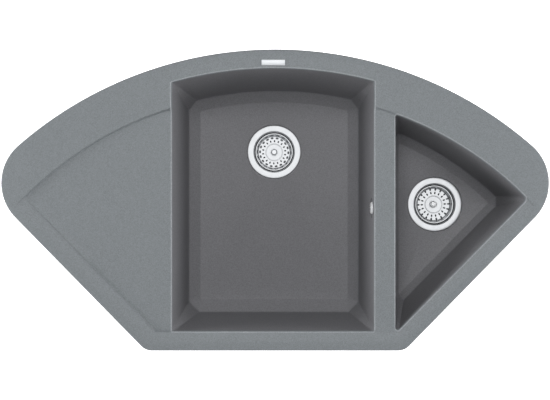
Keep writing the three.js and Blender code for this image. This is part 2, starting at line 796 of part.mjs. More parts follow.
const teeTop = mainDrain.z + tailCollarTop;
const teeBranchZ = teeTop - collarT - gap - nutLip - teeShoulder - threadR;
const teeLow = teeBranchZ - threadR - teeShoulder - nutLip - gap - trapInsert;
const apart = point(halfDrain.x - mainDrain.x, halfDrain.y - mainDrain.y);
const branchHeading = apart.angle();
const socketDepth = 24;
const trapTop = teeLow + trapInsert;
const trapSocket = trapInsert + 1;
const boreR = pipeR - pipeWall;

function wasteTee() {
  const body = turned([
    [boreR, teeLow], [pipeR, teeLow], [pipeR, teeTop - collarT], [threadR - gap, teeTop - collarT],
    [threadR - gap, teeTop], [boreR, teeTop],
  ], pipeFacets);
  const towardsBranch = (radius, from, to) => (
    lay(rod(radius, from, to, pipeFacets), branchHeading, teeBranchZ, branchFall)
  );
  const branch = towardsBranch(threadR, boreR + 1, socketReach);
  const bores = [
    rod(boreR, teeLow - 1, teeTop + 1, pipeFacets),
    towardsBranch(boreR, 0, socketReach),
    towardsBranch(pipeR + slip, socketReach - socketDepth, socketReach + 1),
  ];
  return cut(join(body, branch), ...bores);
}

function branchPipe() {
  const heading = new THREE.Vector3(
    Math.cos(branchHeading), Math.sin(branchHeading), branchFall,
  );
  const near = socketReach - socketDepth + gap + 1;
  const collarTop = halfDrain.z + tailCollarTop;
  const start = new THREE.Vector3(halfDrain.x, halfDrain.y, collarTop);
  const bend = new THREE.Vector3(mainDrain.x, mainDrain.y, teeBranchZ);
  const end = bend.clone().addScaledVector(heading, near);
  bend.addScaledVector(heading, apart.length());
  const body = pipe(new PipeRoute([start, bend, end], bendR), pipeR, boreR);
  const collar = tube(boreR + 1, threadR - gap, collarTop - collarT, collarTop, pipeFacets);
  return join(body, collar.translate(halfDrain.x, halfDrain.y, 0));
}

const sideNut = (heading, reach, z, slope) => lay(
  couplingNut(14, threadR, pipeR).translate(0, 0, reach + gap), heading, z, slope,
);

// ---- Bottle trap below the tee ----

const trapHeading = Math.PI / 2;
const trapLow = trapTop - trapLength;
const trapInner = trapR - pipeWall;
const trapOutletZ = trapTop - trapOutletDrop;
const trapRoof = trapTop - 32;
const dipEnd = trapLow - 16;

function trapBody() {
  const shell = turned([
    [pipeR + slip, trapTop], [threadR, trapTop], [threadR, trapTop - 20], [trapR, trapTop - 28],
    [trapR, trapLow], [trapInner, trapLow], [trapInner, trapRoof], [pipeR, trapRoof],
    [pipeR, dipEnd], [boreR, dipEnd], [boreR, trapTop - trapSocket],
    [pipeR + slip, trapTop - trapSocket],
  ], 24);
  const stub = lay(rod(threadR, trapInner - 1, trapOutletReach, pipeFacets), trapHeading, trapOutletZ);
  const stubInside = [
    lay(rod(boreR, pipeR + 4, trapOutletReach, pipeFacets), trapHeading, trapOutletZ),
    lay(
      rod(pipeR + slip, trapOutletReach - trapSocket, trapOutletReach + 1, pipeFacets),
      trapHeading, trapOutletZ,
    ),
  ];
  const cavity = tube(pipeR + 2, trapInner, trapOutletZ - threadR, trapRoof - 1, 24);
  return cut(join(shell, cut(stub, cavity)), ...stubInside);
}

const trapSeal = () => tube(trapInner + gap, trapR - gap, trapLow - gap - washerT, trapLow - gap, 24);

function trapCup() {
  const ledge = trapLow - washerT - 2 * gap;
  const bottom = ledge - trapCupDepth;
  const skirtTop = trapLow + 18;
  const outer = trapR + gap + 3.5;
  return turned([
    [trapR + gap, skirtTop], [outer, skirtTop], [outer, ledge - 4], [trapInner + 1, ledge - 8],
    [trapInner + 1, bottom + 3], [trapInner - 2, bottom], [0, bottom], [0, bottom + 3],
    [trapInner - 2, bottom + 3], [trapInner - 2, ledge], [trapR + gap, ledge],
  ], 24);
}

const trapInletNut = () => couplingNut(12, threadR, pipeR).translate(0, 0, trapTop + gap);
const outletPipe = () => lay(
  tube(boreR, pipeR, trapOutletReach - trapSocket + gap, outletReach, pipeFacets),
  trapHeading, trapOutletZ,
);

// ---- Overflow ----

const elbowFace = overflowPadX + gap + 1.2 + gap;
const elbowR = 10;
const elbowBore = 7.5;
const elbowX = elbowFace + elbowR + 0.5;
const hoseTop = overflowZ - hoseDrop;
const hosePortZ = mainDrain.z - hosePortDrop;
const hoseAcross = point(elbowX - mainDrain.x, overflowY - mainDrain.y);
const hoseHeading = hoseAcross.angle();

// Turned about the line out of the overflow, which points into the bowl.
const overflowCap = () => turned([
  [2.3, capHeight - 1.8], [overflowCapR - 2.5, capHeight - 1.8], [overflowCapR - 1.5, 1],
  [overflowCapR, 1], [overflowCapR, capHeight - 2], [overflowCapR - 2, capHeight],
  [2.3, capHeight],
], 16).rotateY(-Math.PI / 2).translate(overflowSeatX, overflowY, overflowZ);

const overflowScrew = () => turned([
  [0, capHeight + gap], [4, capHeight + gap], [3.2, capHeight + 2], [0, capHeight + 2],
].reverse(), smallFacets).rotateY(-Math.PI / 2).translate(overflowSeatX, overflowY, overflowZ);

function overflowScrewWhole() {
  const shankEnd = elbowFace + 5;
  const shank = atOverflow(rod(2, overflowSeatX - capHeight - 1, shankEnd));
  return join(overflowScrew(), shank);
}

const overflowSeal = () => atOverflow(tube(
  overflowHoleR + gap, bossR - 2, overflowPadX + gap, elbowFace - gap, 16,
));

function overflowElbow() {
  const corner = () => new THREE.SphereGeometry(1, 12, 8);
  const at = (solid) => solid.translate(elbowX, overflowY, overflowZ);
  const down = (radius, low) => rod(radius, low, overflowZ, 12).translate(elbowX, overflowY, 0);
  const outside = join(
    atOverflow(rod(bossR - 2, elbowFace, elbowFace + 3, 16)),
    atOverflow(rod(elbowR, elbowFace, elbowX, 12)),
    at(corner().scale(elbowR, elbowR, elbowR)), down(elbowR, hoseTop + gap),
  );
  const hollow = cut(
    outside, atOverflow(rod(elbowBore, elbowFace - 1, elbowX, 12)),
    at(corner().scale(elbowBore, elbowBore, elbowBore)), down(elbowBore, hoseTop - 1),
  );
  const bridge = block(
    elbowFace, elbowFace + 3, overflowY - elbowBore - 1, overflowY + elbowBore + 1,
    overflowZ - 4, overflowZ + 4,
  );
  return cut(join(hollow, bridge), atOverflow(rod(2 + gap, elbowFace - 1, elbowFace + 4)));
}

function overflowHose() {
  const start = new THREE.Vector3(elbowX, overflowY, hoseTop);
  const bend = new THREE.Vector3(elbowX, overflowY, hosePortZ);
  const end = new THREE.Vector3(mainDrain.x, mainDrain.y, hosePortZ);
  end.x += (hosePortReach + gap) * Math.cos(hoseHeading);
  end.y += (hosePortReach + gap) * Math.sin(hoseHeading);
  return tidy(pipe(new PipeRoute([start, bend, end], bendR), hoseR, hoseR - hoseWall, 12));
}

const hoseNut = () => tube(
  hoseR + gap, hoseR + gap + hoseNutWall, -hoseNutGrip, hoseNutGrip, 16,
);

// ---- Fixing clips ----

const clawTop = -worktopT - gap;
const clawPlate = clawTop - clipLip;

function clipClaw() {
  const shape = new THREE.Shape([
    point(-clipWidth / 2, clawPlate - clipSheet), point(clipReach + clipSheet, clawPlate - clipSheet),
    point(clipReach + clipSheet, clawTop), point(clipReach, clawTop), point(clipReach, clawPlate),
    point(-clipWidth / 2, clawPlate),
  ]);
  const strip = new THREE.ExtrudeGeometry(shape, { depth: clipWidth, bevelEnabled: false });
  strip.rotateX(Math.PI / 2).translate(0, clipWidth / 2, 0);
  return cut(strip, rod(clipScrewR + gap, clawPlate - clipSheet - 1, clawPlate + 1));
}

function clipScrew() {
  const underClaw = clawPlate - clipSheet - gap;
  return turned([
    [0, underClaw - 3.5], [clipScrewR + 2, underClaw - 3.5], [clipScrewR + 2.7, underClaw - 2],
    [clipScrewR + 2.7, underClaw], [clipScrewR, underClaw],
    [clipScrewR, clipScrewTop], [0, clipScrewTop],
  ], smallFacets);
}

// ---- Finishes ----

const finish = (color, roughness, metalness) => () => (
  new THREE.MeshStandardMaterial({ color, roughness, metalness })
);
const composite = finish(0x83888b, 0.7, 0);
const stainless = finish(0xd9dadb, 0.25, 1);
const chromed = finish(0xe4e6e8, 0.1, 1);
const zinced = finish(0xb5b8b4, 0.4, 1);
const rubber = finish(0x1f1f20, 0.85, 0);
const whitePlastic = finish(0xe8e8e6, 0.45, 0);
const greyPlastic = finish(0x9a9c9e, 0.5, 0);
const plate = finish(0xe6e8ea, 0.35, 0.4);

// ---- Assembly ----

const sink = new THREE.Group();
sink.position.y = -seatInset;

function place(parent, name, geometry, material) {
  const mesh = new THREE.Mesh(geometry, material());
  mesh.name = name;
  parent.add(mesh);
  return mesh;
}

function groupAt(x, y, z) {
  const group = new THREE.Group();
  group.position.set(x, y, z);
  sink.add(group);
  return group;
}

// The badge lies on the slope behind the main bowl, halfway between crease and rim.
function addBadge() {
  const creaseY = creaseBackCentreY + creaseBackR;
  const y = (creaseY + bowlBackY) / 2;
  const slope = bandDrop / (creaseY - bowlBackY + facetPast);
  const spot = groupAt(badge.x, y, deckTop - (creaseY - y) * slope);
  spot.rotation.x = Math.atan(slope);
  const [halfWidth, halfDepthwise] = [badge.width / 2, badge.depth / 2];
  const solid = block(
    -halfWidth, halfWidth, -halfDepthwise, halfDepthwise, gap, gap + badge.height,
  );
  place(spot, 'badge_plate', tidy(solid), plate);
}

function addWaste(prefix, drain, portHeading) {
  const waste = groupAt(drain.x, drain.y, drain.z);
  const sealLow = -recessDepth + gap;
  const flangeSeal = tube(drainHoleR + 1, flangeR - 1, sealLow, sealLow + flangeSealT);
  const housingSeal = tube(
    drainHoleR + 1, drainHoleR + housingFlange, underBowl - gap - housingSealT, underBowl - gap,
  );
  place(waste, `${prefix}_strainer_cup`, strainerCup(), stainless);
  place(waste, `${prefix}_flange_seal`, tidy(flangeSeal), rubber);
  place(waste, `${prefix}_waste_housing`, wasteHousing(portHeading), whitePlastic);
  place(waste, `${prefix}_housing_seal`, tidy(housingSeal), rubber);
  place(waste, `${prefix}_clamp_screw`, tidy(clampScrew()), stainless);
  place(waste, `${prefix}_basket`, basketDish(), stainless);
  place(waste, `${prefix}_basket_plug`, tidy(basketPlug()), rubber);
  place(waste, `${prefix}_basket_post`, tidy(basketPost()), stainless);
  place(waste, `${prefix}_basket_knob`, tidy(basketKnob()), chromed);
  place(waste, `${prefix}_tail_washer`, tidy(tailWasher()), rubber);
  place(waste, `${prefix}_tail_nut`, tidy(tailNut()), whitePlastic);
}

function addPipes() {
  const below = groupAt(mainDrain.x, mainDrain.y, 0);
  place(below, 'waste_tee', wasteTee(), whitePlastic);
  place(sink, 'branch_pipe', branchPipe(), whitePlastic);
  const branchNut = sideNut(branchHeading, socketReach, teeBranchZ, branchFall);
  place(below, 'branch_nut', tidy(branchNut), whitePlastic);
  place(below, 'trap_inlet_nut', tidy(trapInletNut()), whitePlastic);
  place(below, 'trap_body', trapBody(), whitePlastic);
  place(below, 'trap_seal', tidy(trapSeal()), rubber);
  place(below, 'trap_cup', tidy(trapCup()), whitePlastic);
  place(below, 'outlet_nut', tidy(sideNut(trapHeading, trapOutletReach, trapOutletZ)), whitePlastic);
  place(below, 'outlet_pipe', tidy(outletPipe()), whitePlastic);
}

function addOverflow() {
  place(sink, 'overflow_cap', tidy(overflowCap()), chromed);
  place(sink, 'overflow_screw', overflowScrewWhole(), chromed);
  place(sink, 'overflow_seal', tidy(overflowSeal()), rubber);
  place(sink, 'overflow_elbow', overflowElbow(), whitePlastic);
  place(sink, 'overflow_hose', overflowHose(), greyPlastic);
  place(groupAt(elbowX, overflowY, hoseTop), 'hose_top_nut', tidy(hoseNut()), whitePlastic);
  const port = lay(hoseNut().translate(0, 0, hosePortReach), hoseHeading, hosePortZ);
  place(groupAt(mainDrain.x, mainDrain.y, 0), 'hose_port_nut', tidy(port), whitePlastic);
}

function addClips() {
  clipSpots.forEach(({ x, y, heading }, i) => {
    const spot = groupAt(x, y, 0);
    spot.rotation.z = heading;
    place(spot, `clip_claw_${i + 1}`, clipClaw(), zinced);
    place(spot, `clip_screw_${i + 1}`, tidy(clipScrew()), zinced);
  });
}

place(sink, 'sink_body', bowlUnit(), composite);
const sealRing = cut(
  prism(outlineAt(sealInset + gap), 0, sealT),
  prism(outlineAt(sealInset + sealWidth - gap), -1, sealT + 1),
);
place(sink, 'rim_seal', sealRing, rubber);
addBadge();
addWaste('main', mainDrain, hoseHeading);
addWaste('half', halfDrain);
addPipes();
addOverflow();
addClips();

export default sink;
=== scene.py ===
# %% [markdown]
# # A corner kitchen sink, dressed for the camera
# The real thing is moulded in one piece from quartz sand and resin: a curved deck for the
# corner of the room, a drainer, a large bowl and a small three-cornered one. Two steel basket
# strainers close the bowls, and all the plumbing hangs below. The CAD model gives every size
# and everything that moves. This script dresses it, one piece after another.

# %% Load the frame
import json
import math

import bmesh
import bpy
import numpy as np
from mathutils import Matrix, Vector
from mathutils.geometry import delaunay_2d_cdt
from mathutils.kdtree import KDTree


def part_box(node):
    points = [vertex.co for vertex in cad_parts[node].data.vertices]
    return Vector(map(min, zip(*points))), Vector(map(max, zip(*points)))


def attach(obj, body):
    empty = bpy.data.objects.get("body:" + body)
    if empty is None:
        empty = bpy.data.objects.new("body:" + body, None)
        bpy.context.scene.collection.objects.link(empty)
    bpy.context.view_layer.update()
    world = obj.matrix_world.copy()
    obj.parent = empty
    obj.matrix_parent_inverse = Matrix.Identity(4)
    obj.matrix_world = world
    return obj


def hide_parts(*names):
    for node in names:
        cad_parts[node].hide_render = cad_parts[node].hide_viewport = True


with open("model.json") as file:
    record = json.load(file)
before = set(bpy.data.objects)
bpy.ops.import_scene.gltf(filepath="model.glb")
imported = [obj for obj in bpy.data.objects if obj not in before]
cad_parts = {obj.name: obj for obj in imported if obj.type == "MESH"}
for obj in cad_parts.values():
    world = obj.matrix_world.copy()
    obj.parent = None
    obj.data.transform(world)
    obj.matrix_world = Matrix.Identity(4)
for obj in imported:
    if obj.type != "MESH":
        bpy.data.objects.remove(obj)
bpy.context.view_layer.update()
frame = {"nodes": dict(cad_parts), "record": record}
nodes = frame["nodes"]

# %% [markdown]
# ## Camera
# The photograph looks straight down from 1.77 m above the worktop. A camera without any
# turn already looks along -Z with +Y upwards, so only its place and lens are needed. The
# lens follows from the measured scale: 1.93 mm of deck to a pixel, in a picture 550 wide.

# %% Camera
SENSOR_WIDTH, LENS = 36, 59.56
CAMERA_PLACE = (-0.0002, 0.2867, 1.7687)
camera_data = bpy.data.cameras.new("overhead")
camera_data.sensor_width, camera_data.lens = SENSOR_WIDTH, LENS
camera = bpy.data.objects.new("overhead", camera_data)
camera.location = CAMERA_PLACE
bpy.context.collection.objects.link(camera)
bpy.context.scene.camera = camera
bpy.context.scene.view_settings.view_transform = "Standard"
print("camera at", tuple(camera.location))

# %% [markdown]
# ## Lights
# In the photograph the level faces are the brightest, the bowls' walls darken downwards and
# nothing throws a hard shadow. One soft panel overhead does most of the work, and low
# panels left and right skim the walls of the bowls. They light only matt surfaces, because
# polished steel would mirror each as a white patch. What steel mirrors is one broad card.

# %% Lights
# Each panel: place, size and power.
PANELS = {
    "panel_top": ((0.0, 0.88, 2.35), 1.2, 39.5),
    "panel_near_left": ((-1.3, 0.3, 0.3), 0.7, 6.0),
    "panel_near_right": ((1.3, 0.3, 0.3), 0.7, 6.0),
    "panel_far_left": ((-2.6, 0.3, 0.36), 0.8, 36.0),
    "panel_far_right": ((2.6, 0.3, 0.36), 0.8, 36.0),
    "panel_front": ((0.0, -1.0, 0.35), 0.9, 6.0),
    "panel_back": ((0.0, 1.0, 1.0), 0.8, 0.6),
    "mirrored_card": ((0.0, 1.0, 2.6), 3.2, 21.0),
}
PANELS_FACE = (0, 0.3, 0)


def soft_panel(name, place, size, power):
    data = bpy.data.lights.new(name, "AREA")
    data.size, data.energy = size, power
    lamp = bpy.data.objects.new(name, data)
    lamp.location = place
    towards = Vector(PANELS_FACE) - Vector(place)
    lamp.rotation_euler = towards.to_track_quat("-Z", "Y").to_euler()
    lamp.visible_glossy = name == "mirrored_card"
    lamp.visible_diffuse = not lamp.visible_glossy
    bpy.context.collection.objects.link(lamp)


for name, settings in PANELS.items():
    soft_panel(name, *settings)
print("lights", len(PANELS))

# %% [markdown]
# ## Sky
# The sky only fills the deepest shadows, and metal sees more of it than matt surfaces do. A
# Light Path node tells the two kinds of ray apart. Small helpers make nodes and link them,
# because every material below needs the same few steps.

# %% Sky
SKY_COLOR = (0.93, 0.96, 1.0, 1)
SKY_ON_MATT, SKY_IN_METAL = 0.03, 0.4


def set_inputs(tree, node, inputs):
    """Gives each input a value, or links it to the socket that stands in its place."""
    for label, value in inputs.items():
        if isinstance(value, bpy.types.NodeSocket):
            tree.links.new(value, node.inputs[label])
        else:
            node.inputs[label].default_value = value


def add_node(tree, kind, inputs=None, **settings):
    made = tree.nodes.new(kind)
    for key, value in settings.items():
        setattr(made, key, value)
    set_inputs(tree, made, inputs or {})
    return made


def either(tree, share, low, high):
    """One value where the share is 0 and another one where it is 1."""
    inputs = {"Value": share, "To Min": low, "To Max": high}
    return add_node(tree, "ShaderNodeMapRange", inputs).outputs["Result"]


world = bpy.data.worlds.new("pale_sky")
world.use_nodes = True
sky = world.node_tree
rays = add_node(sky, "ShaderNodeLightPath").outputs
set_inputs(sky, sky.nodes["Background"], {
    "Color": SKY_COLOR,
    "Strength": either(sky, rays["Is Glossy Ray"], SKY_ON_MATT, SKY_IN_METAL),
})
bpy.context.scene.world = world
print("sky", world.name)

# %% [markdown]
# ## Floor
# The real picture has pure white round the sink, so a sheet of paper lies under the lowest
# fitting and glows for the camera. From below it is clear, and doesn't hide the plumbing.

# %% Floor
FLOOR_Z, FLOOR_HALF = -0.4605, 6
PAPER_COLOR, PAPER_ROUGH = (0.9, 0.9, 0.9, 1), 0.8
PAPER_ON_SINK, PAPER_FOR_CAMERA = 0.3, 1.0


def calculate(tree, operation, a, b):
    return add_node(tree, "ShaderNodeMath", {0: a, 1: b}, operation=operation).outputs[0]


def mesh_object(name, mesh):
    made = bpy.data.objects.new(name, mesh)
    bpy.context.collection.objects.link(made)
    return made


corners = [(-1, -1), (1, -1), (1, 1), (-1, 1)]
floor_mesh = bpy.data.meshes.new("floor")
floor_mesh.from_pydata(
    [(x * FLOOR_HALF, y * FLOOR_HALF, FLOOR_Z) for x, y in corners], [], [(0, 1, 2, 3)],
)
floor = mesh_object("floor", floor_mesh)
paper = bpy.data.materials.new("white_paper")
paper.use_nodes = True
sheet = paper.node_tree
rays = add_node(sheet, "ShaderNodeLightPath").outputs
side = add_node(sheet, "ShaderNodeNewGeometry").outputs
set_inputs(sheet, sheet.nodes["Principled BSDF"], {
    "Base Color": PAPER_COLOR, "Roughness": PAPER_ROUGH, "Emission Color": (1, 1, 1, 1),
    "Emission Strength": either(sheet, rays["Is Camera Ray"], PAPER_ON_SINK, PAPER_FOR_CAMERA),
    "Alpha": calculate(sheet, "SUBTRACT", 1.0, side["Backfacing"]),
})
floor.data.materials.append(paper)
print("floor at", FLOOR_Z)

# %% [markdown]
# ## Grain
# The moulding is a grey mass full of fine mineral grain. One shader node group makes that
# grain, from crumbs of mixed brightness and slow drifts of tone. Every other finish that
# needs a little unevenness uses the same group at its own scale.

# %% Grain group
def new_tree(name, kind, inputs, outputs):
    """A node tree with sockets of its own, and the nodes for what goes in and comes out."""
    tree = bpy.data.node_groups.new(name, kind)
    for label, socket, *value in inputs:
        made = tree.interface.new_socket(
            label, in_out="INPUT", socket_type=f"NodeSocket{socket}",
        )
        if value:
            made.default_value = value[0]
    for label, socket in outputs:
        tree.interface.new_socket(label, in_out="OUTPUT", socket_type=f"NodeSocket{socket}")
    return tree, tree.nodes.new("NodeGroupInput"), tree.nodes.new("NodeGroupOutput")


def build_grain_group():
    tree, given, result = new_tree(
        "grain", "ShaderNodeTree",
        [
            ("Color", "Color", (0.2, 0.2, 0.2, 1)),
            ("Crumb Size", "Float", 0.0012), ("Crumb Contrast", "Float", 0.1),
            ("Drift Size", "Float", 0.05), ("Drift Contrast", "Float", 0.02),
        ],
        [("Color", "Color"), ("Relief", "Float")],
    )
    place = add_node(tree, "ShaderNodeTexCoord").outputs["Object"]

    def pattern(kind, size, **inputs):
        scale = calculate(tree, "DIVIDE", 1.0, given.outputs[size])
        return add_node(tree, kind, {"Vector": place, "Scale": scale, **inputs}).outputs

    def signed(value, contrast):
        centred = calculate(tree, "SUBTRACT", value, 0.5)
        return calculate(tree, "MULTIPLY", centred, given.outputs[contrast])

    crumbs = pattern("ShaderNodeTexVoronoi", "Crumb Size")["Color"]
    tones = add_node(tree, "ShaderNodeSeparateColor", {0: crumbs}).outputs
    drift = pattern("ShaderNodeTexNoise", "Drift Size", Detail=3.0)["Fac"]
    change = calculate(
        tree, "ADD", signed(tones[0], "Crumb Contrast"), signed(drift, "Drift Contrast"),
    )
    factor = calculate(tree, "ADD", change, 1.0)
    tinted = add_node(
        tree, "ShaderNodeVectorMath", {0: given.outputs["Color"], "Scale": factor},
        operation="SCALE",
    )
    set_inputs(tree, result, {"Color": tinted.outputs[0], "Relief": tones[1]})
    return tree


grain_group = build_grain_group()
print("group", grain_group.name)

# %% [markdown]
# ## Finishes
# Each finish is one row of a table: colour, roughness, how metallic it is, relief, and the
# sizes and contrasts of crumbs and drifts. The composite needs more: its deck looks bluish and
# the bowls neutral, so the bowls get a painted shade, darker and more neutral below the deck's
# height. The bowls' lips get a painted highlight, a paler colour where an attribute on the
# mesh's points marks them.

# %% Finishes
GRAIN_DEPTH = 0.0001
FINISHES = {
    "composite": ((0.192, 0.208, 0.218), 0.52, 0.0, 0.25, (0.0011, 0.34), (0.06, 0.05)),
    "steel": ((0.86, 0.87, 0.88), 0.28, 1.0, 0.0, (0.004, 0.02), (0.03, 0.05)),
    "chrome": ((0.9, 0.91, 0.92), 0.18, 1.0, 0.0, (0.004, 0.01), (0.02, 0.03)),
    "satin_chrome": ((0.9, 0.91, 0.92), 0.3, 0.4, 0.0, (0.004, 0.01), (0.02, 0.03)),
    "aluminium": ((0.86, 0.88, 0.9), 0.35, 0.7, 0.0, (0.0006, 0.06), (0.03, 0.04)),
    "zinc": ((0.58, 0.6, 0.57), 0.36, 1.0, 0.1, (0.0035, 0.16), (0.01, 0.1)),
    "rubber": ((0.018, 0.018, 0.019), 0.78, 0.0, 0.2, (0.0008, 0.2), (0.02, 0.3)),
    "white_plastic": ((0.62, 0.62, 0.6), 0.38, 0.0, 0.12, (0.0006, 0.02), (0.04, 0.04)),
    "grey_plastic": ((0.36, 0.37, 0.38), 0.45, 0.0, 0.12, (0.0006, 0.03), (0.03, 0.06)),
}
SLOT_FINISH = {"stainless": "steel", "badge": "aluminium", "zinc_steel": "zinc"}
# Painted shade: below the deck the composite's colour turns darker and more neutral, inside the
# bowls.
BOWL_PAINTED_SHADE, BOWL_SHADE_BELOW, BOWL_SHADE_ENDS_ABOVE = (0.180, 0.180, 0.190), -0.001, 0.002
# Painted highlight: the paler colour along the bowls' lips.
LIP_PAINTED_HIGHLIGHT = (0.29, 0.305, 0.32)


def grain_finish(name, color, rough, metallic, relief, crumbs, drifts):
    """A material whose colour and bump come through the grain group."""
    material = bpy.data.materials.new(name)
    material.use_nodes = True
    tree = material.node_tree
    shader = tree.nodes["Principled BSDF"]
    group = add_node(tree, "ShaderNodeGroup", node_tree=grain_group)
    set_inputs(tree, group, {
        "Color": (*color, 1), "Crumb Size": crumbs[0], "Crumb Contrast": crumbs[1],
        "Drift Size": drifts[0], "Drift Contrast": drifts[1],
    })
    set_inputs(tree, shader, {
        "Base Color": group.outputs["Color"], "Roughness": rough, "Metallic": metallic,
    })
    if relief:
        bump = add_node(tree, "ShaderNodeBump", {
            "Height": group.outputs["Relief"], "Strength": relief, "Distance": GRAIN_DEPTH,
        })
        set_inputs(tree, shader, {"Normal": bump.outputs["Normal"]})
    return material


def recolour(material, share_of, below=None, above=None):
    """Mixes a finish's own colour, by a share, with one that goes below or above it."""
    tree = material.node_tree
    group = next(node for node in tree.nodes if node.type == "GROUP")
    color = group.inputs["Color"]
    own = color.links[0].from_socket if color.links else tuple(color.default_value)
    mix = add_node(tree, "ShaderNodeMix", {
        "Factor": share_of(tree), "A": (*below, 1) if below else own,
        "B": (*above, 1) if above else own,
    }, data_type="RGBA")
    set_inputs(tree, group, {"Color": mix.outputs["Result"]})


def height_share(low, high):
    """A share that grows softly from 0 at one height to 1 at another."""
    def share_of(tree):
        place = add_node(tree, "ShaderNodeTexCoord").outputs["Object"]
        height = add_node(tree, "ShaderNodeSeparateXYZ", {0: place}).outputs["Z"]
        return add_node(
            tree, "ShaderNodeMapRange", {"Value": height, "From Min": low, "From Max": high},
            interpolation_type="SMOOTHSTEP",
        ).outputs["Result"]
    return share_of


# Where the lips' painted highlight goes.
def lip_highlight_share(tree):
    return add_node(tree, "ShaderNodeAttribute", attribute_name="lip").outputs["Fac"]


finishes = {name: grain_finish(name, *settings) for name, settings in FINISHES.items()}
# Painted shade inside the bowls.
recolour(finishes["composite"], height_share(BOWL_SHADE_BELOW, BOWL_SHADE_ENDS_ABOVE), below=BOWL_PAINTED_SHADE)
# Painted highlight along the bowls' lips.
recolour(finishes["composite"], lip_highlight_share, above=LIP_PAINTED_HIGHLIGHT)
slot_of = {part["node"]: part["material_slot"] for part in frame["record"]["subparts"]}
finish_of = {node: finishes[SLOT_FINISH.get(slot, slot)] for node, slot in slot_of.items()}
for name, node in nodes.items():
    node.data.materials.clear()
    node.data.materials.append(finish_of[name])
print("finishes", list(finishes))

# %% [markdown]
# ## The sink's plan
# All sizes here are in millimetres, measured from the middle of the front edge. The plan is
# made of straight lines and arcs. To round a corner, both edges are moved in by its radius:
# where they then cross lies the middle of the round.

# %% Edges in plan
SIDE_ANGLE = math.radians(45.58)
SIN, COS = math.sin(SIDE_ANGLE), math.cos(SIDE_ANGLE)
FRONT_HALF = 250.8
# The frame's origin lies this far behind the front edge.
SEAT_INSET = 5


def straight(x, y, dx, dy):
    """An edge: what it is, a point or centre on the plan, and its direction or radius."""
    return ("line", np.array([x, y], float), np.array([dx, dy], float))


def rounded(x, y, radius):
    return ("arc", np.array([x, y], float), radius)


def moved_in(edge, by):
    kind, place, size = edge
    if kind == "arc":
        return (kind, place, size - by)
    return (kind, place + by * np.array([-size[1], size[0]]), size)


def crossing(a, b):
    """Where two edges meet. Of a line and an arc's two meeting points, the one further back."""
    if a[0] == "arc":
        a, b = b, a
    _, p, d = a
    if b[0] == "line":
        t = np.linalg.solve(np.column_stack([d, -b[2]]), b[1] - p)[0]
        return p + t * d
    _, centre, radius = b
    along = d if d[1] > 0 else -d
    half_b = (p - centre) @ along
    t = -half_b + math.sqrt(half_b ** 2 - (p - centre) @ (p - centre) + radius ** 2)
    return p + t * along


def touch(edge, centre, radius):
    """The point of an edge that a corner's round touches."""
    kind, place, size = edge
    if kind == "line":
        return centre - radius * np.array([-size[1], size[0]])
    out = centre - place
    return place + out / np.linalg.norm(out) * size


print("side angle", round(math.degrees(SIDE_ANGLE), 2))

# %% [markdown]
# ## Outlines with rounded corners
# A closed outline goes round its edges and corners in turn. Outlines at different depths
# keep the same number of points, so that walls can be stretched between them point by point.

# %% Outlines with rounded corners
def outline(edges, radii, counts, corner_count=8, flatness=0.0):
    """Points of a closed outline, counterclockwise. Corner i leads into edge i.

    Flatness turns the corners' rounds into straight cuts, from 0 for round to 1 for flat.
    """
    corners = []
    for i, radius in enumerate(radii):
        before, after = edges[i - 1], edges[i]
        centre = crossing(moved_in(before, radius), moved_in(after, radius))
        corners.append((centre, touch(before, centre, radius), touch(after, centre, radius)))
    points = []
    for i, (centre, start, end) in enumerate(corners):
        a0 = math.atan2(*(start - centre)[::-1])
        turn = (math.atan2(*(end - centre)[::-1]) - a0) % (2 * math.pi)
        for k in range(corner_count):
            a = a0 + turn * k / corner_count
            on_round = centre + radii[i] * np.array([math.cos(a), math.sin(a)])
            on_cut = start + (end - start) * k / corner_count
            points.append(on_round + (on_cut - on_round) * flatness)
        target = corners[(i + 1) % len(corners)][1]
        kind, place, size = edges[i]
        for k in range(counts[i]):
            t = k / counts[i]
            if kind == "line":
                points.append(end + (target - end) * t)
            else:
                b0 = math.atan2(*(end - place)[::-1])
                sweep = (math.atan2(*(target - place)[::-1]) - b0) % (2 * math.pi)
                b = b0 + sweep * t
                points.append(place + size * np.array([math.cos(b), math.sin(b)]))
    return np.array(points)


box = [straight(0, 0, 1, 0), straight(9, 0, 0, 1), straight(0, 9, -1, 0), straight(0, 0, 0, -1)]
print("a rounded box has", len(outline(box, [2] * 4, [3] * 4)), "points")

# %% [markdown]
# ## The outer edge
# The front is straight, the two sides open at about 45 degrees, and one long arc closes the
# back. The mesh stays a tenth of a millimetre inside the CAD solid, so that the dressed sink
# never needs more room than the real one.

# %% The outer edge
BACK_R, BACK_Y = 758.0, -174.6
END_R, CORNER_R, SMALLEST_CORNER = 96.4, 30.0, 1.0
INSIDE_CAD = 0.1
EDGE_COUNTS, EDGE_CORNER_COUNT = (60, 70, 160, 70), 24


def side_base(inset, sign=1):
    """A point of the right or left side line, moved inwards."""
    return sign * (FRONT_HALF - inset / SIN), 0.0


def outer_edge(inset):
    """The sink's outer edge, moved in. Its ends are large rounds between side and back."""
    inset = inset + INSIDE_CAD
    right, left = side_base(inset), side_base(inset, -1)
    edges = [
        straight(0, inset, 1, 0), straight(*right, COS, SIN),
        rounded(0, BACK_Y, BACK_R - inset), straight(*left, COS, -SIN),
    ]
    corner, end = max(CORNER_R - inset, SMALLEST_CORNER), END_R - inset
    return outline(edges, [corner, corner, end, end], EDGE_COUNTS, EDGE_CORNER_COUNT)


edge_points = outer_edge(0)
print("outer edge", edge_points.min(0).round(1), edge_points.max(0).round(1))

# %% [markdown]
# ## The bowls in plan
# Each bowl narrows downwards, from its rim to the foot of the wall, and from there over a
# sloping border to a crease round the floor. Three outlines say where. The corners at the
# foot are cut flat, as the photograph's facets show, and all the others are round.

# %% The bowls at their levels
def level_table(keys, **rows):
    return {name: dict(zip(keys.split(), row)) for name, row in rows.items()}


